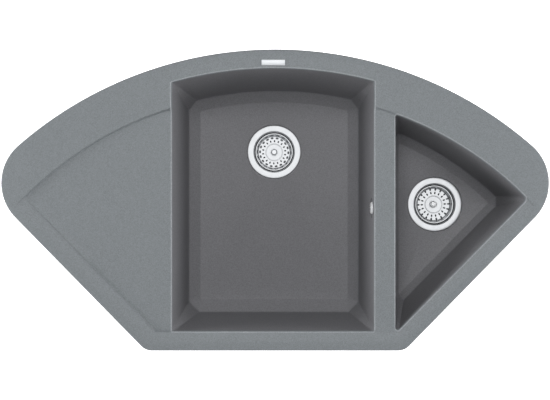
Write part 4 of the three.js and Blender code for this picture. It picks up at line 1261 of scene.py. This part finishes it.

# %% [markdown]
# ## Cups with their flanges
# Each waste starts with a pressed steel cup, whose wide polished flange lies in the floor's
# recess. Six holes in its floor let the water out. The basket's slots look dark, so the steel
# below them gets a painted shade, darker with the depth.

# %% Cups with their flanges
DRAINS = {name: drain for name, (_, _, drain) in BOWLS.items()}
FLANGE_LOW = -0.7
CUP_R, SHEET, CUP_FLOOR, CUP_SOFT = 42.0, 1.5, -25.7, 1.2
SCREW_R, CUP_HOLES, CUP_HOLE_R, CUP_HOLE_AT = 3.3, 6, 5.0, 19.0
# Painted shade: the cup's steel darkens between these heights, towards its floor.
CUP_PAINTED_SHADE, CUP_SHADE_BELOW, CUP_SHADE_ENDS_ABOVE = (0.16, 0.165, 0.17), -20, -8
CUP_STEEL = ((0.86, 0.87, 0.88), 0.28, 1.0, 0.0, (0.004, 0.04), (0.02, 0.2))
cup_section = [
    [SCREW_R, CUP_FLOOR - SHEET], [CUP_R - 1.5, CUP_FLOOR - SHEET],
    [CUP_R + SHEET, CUP_FLOOR + 2], [CUP_R + SHEET, FLANGE_LOW], [FLANGE_R, FLANGE_LOW],
    [FLANGE_R - 0.6, FLANGE_LOW + 1.2], [FLANGE_R - 3.5, FLANGE_LOW + 1.5],
    [CUP_R + 2.2, FLANGE_LOW + 1.5], [CUP_R, FLANGE_LOW - 0.8], [CUP_R, CUP_FLOOR + 3],
    [CUP_R - 3, CUP_FLOOR], [SCREW_R, CUP_FLOOR],
]


# A cup's steel with painted shade, darker towards its floor.
def shaded_cup_steel(name, drain_z):
    steel = grain_finish(name, *CUP_STEEL)
    low, high = (drain_z + CUP_SHADE_BELOW) / 1000, (drain_z + CUP_SHADE_ENDS_ABOVE) / 1000
    recolour(steel, height_share(low, high), below=CUP_PAINTED_SHADE)
    return steel


for name, drain in DRAINS.items():
    cup = turned(f"{name}_cup", softened(cup_section, CUP_SOFT), drain)
    holes = Skin()
    for i in range(CUP_HOLES):
        a = 2 * math.pi * i / CUP_HOLES
        x, y = drain[0] + CUP_HOLE_AT * math.cos(a), drain[1] + CUP_HOLE_AT * math.sin(a)
        floor_z = drain[2] + CUP_FLOOR
        holes.add_prism(circle_plan(x, y, CUP_HOLE_R, 32), floor_z - 3, floor_z + 2)
    combine(cup, holes.to_object("cup_holes"), "DIFFERENCE")
    finished(cup, f"{name}_strainer_cup", shaded_cup_steel(f"{name}_shaded_cup_steel", drain[2]))

# %% [markdown]
# ## A row of slots
# Baskets and nuts both carry one shape many times round an axis. A Geometry Nodes tree cuts
# such a row: a cutter is set on a circle as often as needed, turned to face the middle, and
# taken away from the piece in one go. Its numbers come from outside, so one tree does all.

# %% A row of slots
CUTTER_SIDES = 16


def build_slot_row():
    """Cuts a ring of slots, each with its length across the circle or along it."""
    tree, given, result = new_tree(
        "slot_row", "GeometryNodeTree",
        [
            ("Geometry", "Geometry"), ("Count", "Int"), ("Radius", "Float"),
            ("Slot", "Vector"), ("Rotation", "Rotation"), ("Centre", "Vector"),
            ("Finish", "Material"),
        ],
        [("Geometry", "Geometry")],
    )
    given = given.outputs
    circle = add_node(tree, "GeometryNodeMeshCircle", {
        "Vertices": given["Count"], "Radius": given["Radius"],
    })
    outward = add_node(tree, "GeometryNodeInputPosition")
    facing = add_node(
        tree, "FunctionNodeAlignRotationToVector", {"Vector": outward.outputs[0]}, axis="X",
    )
    cutter = add_node(tree, "GeometryNodeMeshCylinder", {
        "Vertices": CUTTER_SIDES, "Radius": 0.5, "Depth": 1.0,
    })
    spread = add_node(tree, "GeometryNodeInstanceOnPoints", {
        "Points": circle.outputs["Mesh"], "Instance": cutter.outputs["Mesh"],
        "Rotation": facing.outputs["Rotation"], "Scale": given["Slot"],
    })
    placed = add_node(tree, "GeometryNodeTransform", {
        "Geometry": spread.outputs["Instances"], "Translation": given["Centre"],
        "Rotation": given["Rotation"],
    })
    real = add_node(tree, "GeometryNodeRealizeInstances", {
        "Geometry": placed.outputs["Geometry"],
    })
    cut = add_node(
        tree, "GeometryNodeMeshBoolean",
        {"Mesh 1": given["Geometry"], "Mesh 2": real.outputs["Geometry"]},
        operation="DIFFERENCE", solver="MANIFOLD",
    )
    finish = add_node(tree, "GeometryNodeSetMaterial", {
        "Geometry": cut.outputs["Mesh"], "Material": given["Finish"],
    })
    set_inputs(tree, result, {"Geometry": finish.outputs["Geometry"]})
    return tree


def through_tree(piece, tree, values):
    """Runs a Geometry Nodes tree on a piece and keeps the plain mesh that comes out."""
    change = piece.modifiers.new(tree.name, "NODES")
    change.node_group = tree
    for item in tree.interface.items_tree:
        if item.item_type == "SOCKET" and item.name in values:
            change[item.identifier] = values[item.name]
    settle(piece, change)


slot_row = build_slot_row()


def cut_row(piece, count, radius, slot, centre, material, turn=0.0, axis=UP):
    """Cuts one row of slots about an axis, starting at an angle in degrees."""
    upright = Vector(UP).rotation_difference(Vector(axis)).to_matrix()
    rotation = upright @ Matrix.Rotation(math.radians(turn), 3, "Z")
    through_tree(piece, slot_row, {
        "Count": count, "Radius": radius / 1000, "Slot": [size / 1000 for size in slot],
        "Rotation": rotation.to_euler(), "Centre": in_frame(centre), "Finish": material,
    })


print("tree", slot_row.name, "nodes", len(slot_row.nodes))

# %% [markdown]
# ## Baskets
# A basket sits in each cup: a thin steel dish with a rolled lip, a shallow ring pressed into
# its floor, and rows of slots in floor and wall. The dish is turned, and each row is one run
# of the tree. The two baskets differ a little in the photograph, so each has rows of its own.

# %% Baskets
POST_R, DISH_LOW, DISH_TOP = 4.3, -19.1, -5.1
DISH_FOOT, DISH_R, DISH_SHEET, DISH_SOFT = 36.2, 40.2, 1.2, 2.4
DISH_FLOOR = DISH_LOW + DISH_SHEET
RING_FLOOR = DISH_FLOOR + 0.35
dish_section = [
    [POST_R, DISH_LOW], [17, DISH_LOW], [18.5, DISH_LOW + 0.1], [DISH_FOOT, DISH_LOW],
    [DISH_R - 1.6, DISH_TOP - 1.8], [DISH_R, DISH_TOP - 1.6], [DISH_R, DISH_TOP],
    [DISH_R - 2.6, DISH_TOP], [DISH_FOOT - DISH_SHEET, DISH_FLOOR], [18.9, DISH_FLOOR],
    [18.2, RING_FLOOR], [17.5, RING_FLOOR], [16.8, DISH_FLOOR], [POST_R, DISH_FLOOR],
]
# Each row: count, radius, height, slot (out, along, up) and turn in degrees.
SLOT_ROWS = {
    "main": [
        (18, 24.1, DISH_LOW, (4.9, 3.0, 8), 8), (18, 30.7, DISH_LOW, (4.2, 6.6, 8), -2),
        (18, 37.4, DISH_LOW + 7, (8, 4.2, 3.0), 8),
    ],
    "half": [
        (18, 24.4, DISH_LOW, (5.6, 3.2, 8), 2), (18, 32.4, DISH_LOW, (7.2, 3.8, 8), 2),
        (18, 37.4, DISH_LOW + 6.6, (8, 3.8, 4.4), 2),
    ],
}
for name, drain in DRAINS.items():
    dish = turned(f"{name}_dish", softened(dish_section, DISH_SOFT, 5), drain)
    for count, radius, height, slot, turn in SLOT_ROWS[name]:
        centre = (drain[0], drain[1], drain[2] + height)
        cut_row(dish, count, radius, slot, centre, finishes["steel"], turn)
    finished(dish, f"{name}_basket")

# %% [markdown]
# ## Knobs
# The small knob in the middle lifts the basket. It is turned like the rest, from a section
# that narrows towards the top. One of them shines and the other is satin in the photograph,
# so their finishes differ too.

# %% Knobs
KNOB_LOW, KNOB_TOP, KNOB_INSIDE, KNOB_SOFT = -15.9, -7.4, -9.3, 1.4
KNOBS = {
    "main": [[POST_R, KNOB_LOW], [5.6, KNOB_LOW], [6.9, KNOB_LOW + 2.2], [6.9, KNOB_TOP - 2.2],
             [4.9, KNOB_TOP - 0.2], [4.2, KNOB_TOP], [0, KNOB_TOP]],
    "half": [[POST_R, KNOB_LOW], [5.6, KNOB_LOW], [6.9, KNOB_LOW + 2], [6.9, KNOB_TOP - 2.2],
             [6.0, KNOB_TOP - 0.9], [3.6, KNOB_TOP - 0.2], [0, KNOB_TOP]],
}
KNOB_FINISH = {"main": finishes["chrome"], "half": finishes["satin_chrome"]}
for name, drain in DRAINS.items():
    section = KNOBS[name] + [[0, KNOB_INSIDE], [POST_R, KNOB_INSIDE]]
    knob = turned(f"{name}_knob", softened(section, KNOB_SOFT, 5), drain)
    finished(knob, f"{name}_basket_knob", KNOB_FINISH[name])

# %% [markdown]
# ## The overflow's cap
# A chromed cap stands in the recess of the bowl's right wall, and water passes behind its
# edge. It is a hollow turned shell with a fine groove round its face, and its axis lies
# across the wall. Satin keeps it visible, where a mirror would only repeat the grey wall.

# %% Overflow cap
CAP_R, CAP_HIGH, CAP_SOFT = 12.0, 7.6, 0.9
cap_section = [
    [2.3, CAP_HIGH - 1.8], [CAP_R - 2.5, CAP_HIGH - 1.8], [CAP_R - 1.5, 1], [CAP_R, 1],
    [CAP_R, CAP_HIGH - 2], [CAP_R - 2, CAP_HIGH], [7.4, CAP_HIGH], [7.0, CAP_HIGH - 0.5],
    [6.6, CAP_HIGH], [2.3, CAP_HIGH],
]
seat_at = (OVERFLOW_WALL + SEAT_DEPTH, OVERFLOW_Y, OVERFLOW_Z)
cap = turned("cap", softened(cap_section, CAP_SOFT), seat_at, (-1, 0, 0))
finished(cap, "overflow_cap", finishes["satin_chrome"])

# %% [markdown]
# ## Fittings below the sink
# Seals, nuts, screws and pipes keep the sections that the CAD gives them. Such a section is
# read from the CAD piece: the piece is cut through its axis, halfway between two of its
# flat sides. First, helpers find those sides and put a cut's edges in order.

# %% Flat sides and chains of edges
# Lengths in millimetres below which two points, or a point and the axis, are one.
SAME_RADIUS, WELD, NEAR_AXIS = 0.02, 0.002, 0.05
STRAIGHT_ON = 0.002


def axis_frame(centre, axis):
    """From a frame on the piece's own axis, in millimetres, to the shared frame."""
    turn = Vector(UP).rotation_difference(Vector(axis)).to_matrix().to_4x4()
    return Matrix.Translation(in_frame(centre)) @ turn @ Matrix.Scale(0.001, 4)


def middle_of(node):
    """The middle of a CAD piece, in millimetres from the front edge."""
    corners = np.array([nodes[node].matrix_world @ Vector(c) for c in nodes[node].bound_box])
    x, y, z = (corners.min(0) + corners.max(0)) * 500
    return x, y + SEAT_INSET, z


def flat_side(points, heading, ring):
    """How many flat sides a ring has, and the middle angle of the one that is asked for."""
    radius = np.linalg.norm(points[:, :2], axis=1)
    rim = points[abs(radius - (ring or radius.max())) < SAME_RADIUS]
    angles = np.unique(np.round(np.degrees(np.arctan2(rim[:, 1], rim[:, 0])), 1) % 360)
    sides = len(angles)
    middles = np.radians(angles + 180 / sides)
    return sides, middles[np.argmax(np.cos(middles - heading))]


def chained(edges):
    """The points of the longest chain of edges, in order."""
    near = {}
    for edge in edges:
        for one, other in (edge.verts, reversed(edge.verts)):
            near.setdefault(one, []).append(other)
    chains, left = [], set(near)
    while left:
        ends = [v for v in left if len(near[v]) == 1]
        chain = [min(ends or left, key=lambda v: (v.co.z, v.co.x))]
        left.discard(chain[0])
        while True:
            step = [v for v in near[chain[-1]] if v in left]
            if not step:
                break
            chain.append(step[0])
            left.discard(step[0])
        chains.append(chain)
    return max(chains, key=len)


print("trap seal's middle", [round(v, 1) for v in middle_of("trap_seal")])

# %% [markdown]
# ## The section of a CAD piece
# Two bisecting planes leave a cut face's outline on one side of the axis. A CAD circle has
# flat sides, which lie a little nearer to the axis than its corners do, and the radius is
# corrected for that. Corners on a straight line are left out.

# %% The section of a CAD piece
def section_of(node, centre, axis=UP, heading=0.0, ring=None):
    """The corners of a turned CAD piece's section, as radius and height.

    The ring's radius tells which of its rings to count flat sides on; None is the widest.
    """
    work = bmesh.new()
    work.from_mesh(nodes[node].data)
    work.transform(axis_frame(centre, axis).inverted() @ nodes[node].matrix_world)
    bmesh.ops.remove_doubles(work, verts=work.verts, dist=WELD)
    sides, middle = flat_side(np.array([v.co for v in work.verts]), heading, ring)
    work.transform(Matrix.Rotation(-middle, 4, "Z"))
    for normal, clear in (((1, 0, 0), True), ((0, 1, 0), False)):
        whole = work.verts[:] + work.edges[:] + work.faces[:]
        cut = bmesh.ops.bisect_plane(
            work, geom=whole, dist=0.0005, plane_co=(0, 0, 0), plane_no=normal, clear_inner=clear,
        )
    chain = chained([e for e in cut["geom_cut"] if isinstance(e, bmesh.types.BMEdge)])
    corners = [np.array([v.co.x / math.cos(math.pi / sides), v.co.z]) for v in chain]
    work.free()
    for corner in corners:
        corner[0] = corner[0] if corner[0] > NEAR_AXIS else 0.0
    (r, h), (next_r, next_h) = np.array(corners).T, np.roll(corners, -1, axis=0).T
    counterclockwise = np.sum(r * next_h - next_r * h) > 0
    return without_straight(corners if counterclockwise else corners[::-1])


def without_straight(corners):
    """Leaves out every corner where the outline goes straight on."""
    kept = []
    for before, corner, after in zip(corners[-1:] + corners, corners, corners[1:] + corners[:1]):
        a, b = corner - before, after - corner
        turn = a[0] * b[1] - a[1] * b[0]
        if abs(turn) > STRAIGHT_ON * np.linalg.norm(a) * np.linalg.norm(b) + 1e-9:
            kept.append(corner)
    return kept


def turned_again(node, axis=UP, centre=None, soft=0.6, heading=0.0, ring=None):
    centre = centre or middle_of(node)
    section = section_of(node, centre, axis, heading, ring)
    return turned(f"{node}_turned", softened(section, soft), centre, axis)


print("a section has", len(section_of("trap_seal", middle_of("trap_seal"))), "corners")

# %% [markdown]
# ## Seals, screws and straight pipes
# These are plain turned pieces, so a row of names is enough. Most stand upright. A few lie
# along the wall or the outlet, and for them the axis is given as well.

# %% Seals, screws and straight pipes
MAIN, HALF = DRAINS["main"], DRAINS["half"]
PLAIN = {
    f"{name}_{part}": UP for name in DRAINS
    for part in ("flange_seal", "housing_seal", "tail_washer", "basket_plug", "basket_post",
                 "clamp_screw")
}
PLAIN |= {"trap_seal": UP} | {f"clip_screw_{i}": UP for i in range(1, 9)}
PLAIN |= {"overflow_seal": RIGHT, "overflow_screw": (-1, 0, 0), "outlet_pipe": BACK}
for node, axis in PLAIN.items():
    finished(turned_again(node, axis), node)

# %% [markdown]
# ## Nuts with their grips
# A moulded nut is turned by hand, so its outside is ribbed. The section comes from the CAD
# piece, and the grooves between the ribs are one row of upright slots along its rim.

# %% Nuts with their grips
def along(centre, axis, distance):
    return tuple(c + a * distance for c, a in zip(centre, axis))


TEE_Z, OUTLET_Z, HOSE_Z = -298.4, -380.2, -211.0
apart = np.array(HALF[:2]) - np.array(MAIN[:2])
BRANCH = (*(apart / np.linalg.norm(apart)), 0.02)
HOSE_X = 213.58
across = np.array([HOSE_X, OVERFLOW_Y]) - np.array(MAIN[:2])
HOSE_WAY = (*(across / np.linalg.norm(across)), 0.0)
branch_at, outlet_at = (*MAIN[:2], TEE_Z), (*MAIN[:2], OUTLET_Z)
hose_port_at = (*MAIN[:2], HOSE_Z)
# Each nut: a point on its axis, the axis, and how many grooves its grip has.
NUTS = {
    "main_tail_nut": (None, UP, 30), "half_tail_nut": (None, UP, 30),
    "trap_inlet_nut": (None, UP, 30), "outlet_nut": (None, BACK, 30),
    "branch_nut": (branch_at, BRANCH, 30), "trap_cup": (None, UP, 40),
    "hose_top_nut": (None, UP, 20), "hose_port_nut": (hose_port_at, HOSE_WAY, 20),
}
GROOVE_DEEP, GROOVE_WIDE, GROOVE_SHARE, NUT_SOFT = 1.6, 2.2, 0.8, 0.8
for node, (centre, axis, grooves) in NUTS.items():
    centre = centre or middle_of(node)
    section = section_of(node, centre, axis)
    widest = max(corner[0] for corner in section)
    rim = [corner[1] for corner in section if corner[0] > widest - 0.05]
    nut = turned(f"{node}_turned", softened(section, NUT_SOFT), centre, axis)
    slot = (GROOVE_DEEP, GROOVE_WIDE, (max(rim) - min(rim)) * GROOVE_SHARE)
    middle = along(centre, axis, (max(rim) + min(rim)) / 2)
    cut_row(nut, grooves, widest, slot, middle, finish_of[node], axis=axis)
    finished(nut, node)

# %% [markdown]
# ## Waste housings
# Under each bowl a moulded housing catches the water and narrows to the pipe's thread. Four
# spokes hold a hub in it, and the centre screw pulls the cup down on that hub. The turned
# body gets the spokes and hub as simple solids, and the main one a port for the hose.

# %% Waste housings
HOUSING_INNER, RIM_R = 44.5, 52.5
SPOKE, HUB_R, HUB_LOW, HUB_TOP = 3.0, 6.0, -44.2, -30.2
HOSE_R, HOSE_BORE, HOSE_PORT_REACH = 10.5, 8.0, 66.0
HOUSING_SOFT, HOUSING_SHARP, PORT_STEPS = 1.0, 30, 48


def spoke_plan(angle):
    half_long, half_wide = HOUSING_INNER + 1, SPOKE / 2
    turn = np.array([[math.cos(angle), math.sin(angle)], [-math.sin(angle), math.cos(angle)]])
    box = [(-half_long, -half_wide), (half_long, -half_wide), (half_long, half_wide),
           (-half_long, half_wide)]
    return np.array(box) @ turn


def waste_housing(name, drain):
    node = f"{name}_waste_housing"
    between_spokes = math.atan2(HOSE_WAY[1], HOSE_WAY[0]) + math.pi / 2
    housing = turned_again(
        node, centre=drain, soft=HOUSING_SOFT, heading=between_spokes, ring=RIM_R,
    )
    for angle in (math.pi / 4, 3 * math.pi / 4):
        spoke = Skin()
        plan = spoke_plan(angle) + np.array(drain[:2])
        spoke.add_prism(plan, drain[2] + HUB_LOW, drain[2] + HUB_TOP)
        combine(housing, spoke.to_object("spoke"), "UNION")
    combine(housing, rod(HUB_R, HUB_LOW, HUB_TOP, drain, UP), "UNION")
    combine(housing, rod(SCREW_R, HUB_LOW - 1, HUB_TOP + 1, drain, UP), "DIFFERENCE")
    return housing


def with_hose_port(housing):
    for radius, start, end, operation in (
        (HOSE_R, HOUSING_INNER + 1, HOSE_PORT_REACH, "UNION"),
        (HOSE_BORE, HOUSING_INNER - 3, HOSE_PORT_REACH + 1, "DIFFERENCE"),
    ):
        port = rod(radius, start, end, hose_port_at, HOSE_WAY, steps=PORT_STEPS)
        combine(housing, port, operation)
    return housing


main_housing = with_hose_port(waste_housing("main", MAIN))
finished(main_housing, "main_waste_housing", sharp=HOUSING_SHARP)
finished(waste_housing("half", HALF), "half_waste_housing", sharp=HOUSING_SHARP)

# %% [markdown]
# ## Tee and trap body
# A tee joins the two bowls' wastes, and a bottle trap keeps a water seal against smells.
# Both are turned about the upright pipe, and a short socket with a thread leaves each to the
# side. The socket is a rod that is joined on and then bored in two steps.

# %% Tee and trap body
PIPE_R, BORE_R, THREAD_R, SLIP, THREAD_CREST = 20.0, 17.0, 24.0, 0.6, 0.3
SOCKET_REACH, SOCKET_DEEP, SOCKET_SOFT = 52.0, 24.0, 0.8
TRAP_R, TRAP_INNER, TRAP_REACH, TRAP_SOCKET, TRAP_SOFT = 35.0, 32.0, 62.0, 14.0, 1.2
RUN_LENGTH = 100


def with_socket(body, inner, bore_start, reach, deep, centre, axis):
    """Adds a side socket: a threaded rod, the pipe's bore, and a wider seat for the pipe."""
    combine(body, rod(THREAD_R, inner, reach, centre, axis, SOCKET_SOFT), "UNION")
    combine(body, rod(BORE_R, bore_start, reach, centre, axis), "DIFFERENCE")
    combine(body, rod(PIPE_R + SLIP, reach - deep, reach + 1, centre, axis), "DIFFERENCE")
    return body


tee = with_socket(
    turned_again("waste_tee", centre=branch_at, soft=SOCKET_SOFT, heading=math.pi,
                 ring=THREAD_R - THREAD_CREST),
    BORE_R + 1, 0, SOCKET_REACH, SOCKET_DEEP, branch_at, BRANCH,
)
combine(tee, rod(BORE_R, -RUN_LENGTH, RUN_LENGTH, branch_at, UP), "DIFFERENCE")
finished(tee, "waste_tee")
trap = with_socket(
    turned_again("trap_body", centre=outlet_at, soft=TRAP_SOFT, heading=-math.pi / 2,
                 ring=TRAP_R),
    TRAP_INNER + 1, PIPE_R + 4, TRAP_REACH, TRAP_SOCKET, outlet_at, BACK,
)
finished(trap, "trap_body")

# %% [markdown]
# ## Paths and pipes
# A bent pipe follows a path of two straight runs and an arc between them. At each point of
# the path stand two rings, one outside and one for the bore, and all of them in a row close
# to a tube.

# %% Paths and pipes
BEND_R = 40.0


def bent_path(start, corner, end, radius, spacing):
    """Points and directions along two straight runs with an arc between them."""
    start, corner, end = (Vector(p) for p in (start, corner, end))
    first, second = (corner - start).normalized(), (end - corner).normalized()
    turn = first.angle(second)
    reach = radius * math.tan(turn / 2)
    into, out = corner - first * reach, corner + second * reach
    side = (second - first * first.dot(second)).normalized()

    def straight_run(a, b, way, last):
        count = max(2, round((b - a).length / spacing))
        return [(a.lerp(b, i / count), way) for i in range(count + last)]

    path = straight_run(start, into, first, 0)
    for a in np.linspace(0, turn, max(8, round(turn * radius / spacing)), endpoint=False):
        place = into + first * radius * math.sin(a) + side * radius * (1 - math.cos(a))
        path.append((place, first * math.cos(a) + side * math.sin(a)))
    return path + straight_run(out, end, second, 1)


def swept(name, path, outer_at, bore, steps=48):
    """A pipe along a path; outer_at gives its outer radius at a distance along the path."""
    skin, outside, inside_rings, gone, last = Skin(), [], [], 0.0, path[0][0]
    around = np.linspace(0, 2 * math.pi, steps, endpoint=False)
    across = path[0][1].cross(path[-1][1]).normalized()
    for place, way in path:
        gone += (place - last).length
        last = place
        up = np.array(way.cross(across))
        unit = np.outer(np.cos(around), np.array(across)) + np.outer(np.sin(around), up)
        outside.append(skin.add_ring(np.array(place) + unit * outer_at(gone)))
        inside_rings.append(skin.add_ring(np.array(place) + unit * bore))
    rings = outside + inside_rings[::-1]
    for one, other in zip(rings, rings[1:] + rings[:1]):
        skin.join_rings(one, other)
    return skin.to_object(name)


bend = bent_path((0, 0, 0), (90, 0, 0), (90, 90, 0), BEND_R, 5)
print("a bend has", len(bend), "points")

# %% [markdown]
# ## Bent pipe
# It leads from the half bowl's waste down and over to the tee. A collar at its top, turned
# on its own and joined, is what the nut pulls against.

# %% Bent pipe
BRANCH_START, BRANCH_NEAR, BRANCH_SPACING, COLLAR, COLLAR_SOFT = -231.1, 29.3, 4.0, 2.5, 0.5
corner = Vector(branch_at) + Vector(BRANCH) * float(np.linalg.norm(apart))
near_end = Vector(branch_at) + Vector(BRANCH) * BRANCH_NEAR
branch_top = (*HALF[:2], BRANCH_START)
branch_path = bent_path(branch_top, corner, near_end, BEND_R, BRANCH_SPACING)
branch = swept("branch", branch_path, lambda gone: PIPE_R, BORE_R)
collar_r = THREAD_R - THREAD_CREST
collar_section = [[BORE_R + 1, -COLLAR], [collar_r, -COLLAR], [collar_r, 0], [BORE_R + 1, 0]]
collar = turned("collar", softened(collar_section, COLLAR_SOFT), branch_top)
combine(branch, collar, "UNION")
finished(branch, "branch_pipe")

# %% [markdown]
# ## Ribbed hose
# A soft hose brings the overflow's water to the main housing. Ribs are what lets it bend, so
# its radius swings as it goes along, and the path needs several points to every rib.

# %% Ribbed hose
HOSE_TOP, HOSE_PITCH, HOSE_RIB, HOSE_PLAIN, HOSE_SHARP = -58.0, 3.2, 0.7, 12, 60
HOSE_SPACING, HOSE_STEPS = 0.53, 40
hose_start, hose_corner = (HOSE_X, OVERFLOW_Y, HOSE_TOP), (HOSE_X, OVERFLOW_Y, HOSE_Z)
hose_end = along(hose_port_at, HOSE_WAY, HOSE_PORT_REACH + 0.3)
hose_path = bent_path(hose_start, hose_corner, hose_end, BEND_R, HOSE_SPACING)
hose_long = sum((a[0] - b[0]).length for a, b in zip(hose_path, hose_path[1:]))


def hose_radius(gone):
    """Plain at both ends, where the nuts hold it, and ribbed between them."""
    if min(gone, hose_long - gone) < HOSE_PLAIN:
        return HOSE_R
    return HOSE_R - HOSE_RIB * (1 - math.cos(2 * math.pi * gone / HOSE_PITCH))


hose = swept("hose", hose_path, hose_radius, HOSE_BORE, HOSE_STEPS)
finished(hose, "overflow_hose", sharp=HOSE_SHARP)

# %% [markdown]
# ## Soft-edged copies
# The badge's bare plate, the sealing strip, the elbow and the clips' claws aren't turned.
# Their CAD shape is right already, only too sharp. The Bevel modifier rounds every edge that
# is sharper than an angle, once doubled points and needless edges are gone.

# %% Soft-edged copies
WELD_M, FLAT_ANGLE, BEVEL_ANGLE, SOFT_SHARP = 2e-6, 1, 35, 50
SOFT_COPIES = {"badge_plate": 0.5, "rim_seal": 0.4, "overflow_elbow": 0.4}
SOFT_COPIES.update({f"clip_claw_{i}": 0.5 for i in range(1, 9)})


def soft_copy(node, width):
    """A copy of a CAD piece whose sharp edges are bevelled."""
    work = bmesh.new()
    work.from_mesh(nodes[node].data)
    work.transform(nodes[node].matrix_world)
    bmesh.ops.remove_doubles(work, verts=work.verts, dist=WELD_M)
    bmesh.ops.dissolve_limit(
        work, angle_limit=math.radians(FLAT_ANGLE), verts=work.verts, edges=work.edges,
    )
    piece = mesh_object(f"{node}_soft", bpy.data.meshes.new(f"{node}_soft"))
    work.to_mesh(piece.data)
    work.free()
    bevel = piece.modifiers.new("soft_edges", "BEVEL")
    bevel.width, bevel.segments = width / 1000, 2
    bevel.limit_method, bevel.angle_limit = "ANGLE", math.radians(BEVEL_ANGLE)
    settle(piece, bevel)
    return piece


for node, width in SOFT_COPIES.items():
    finished(soft_copy(node, width), node, sharp=SOFT_SHARP)
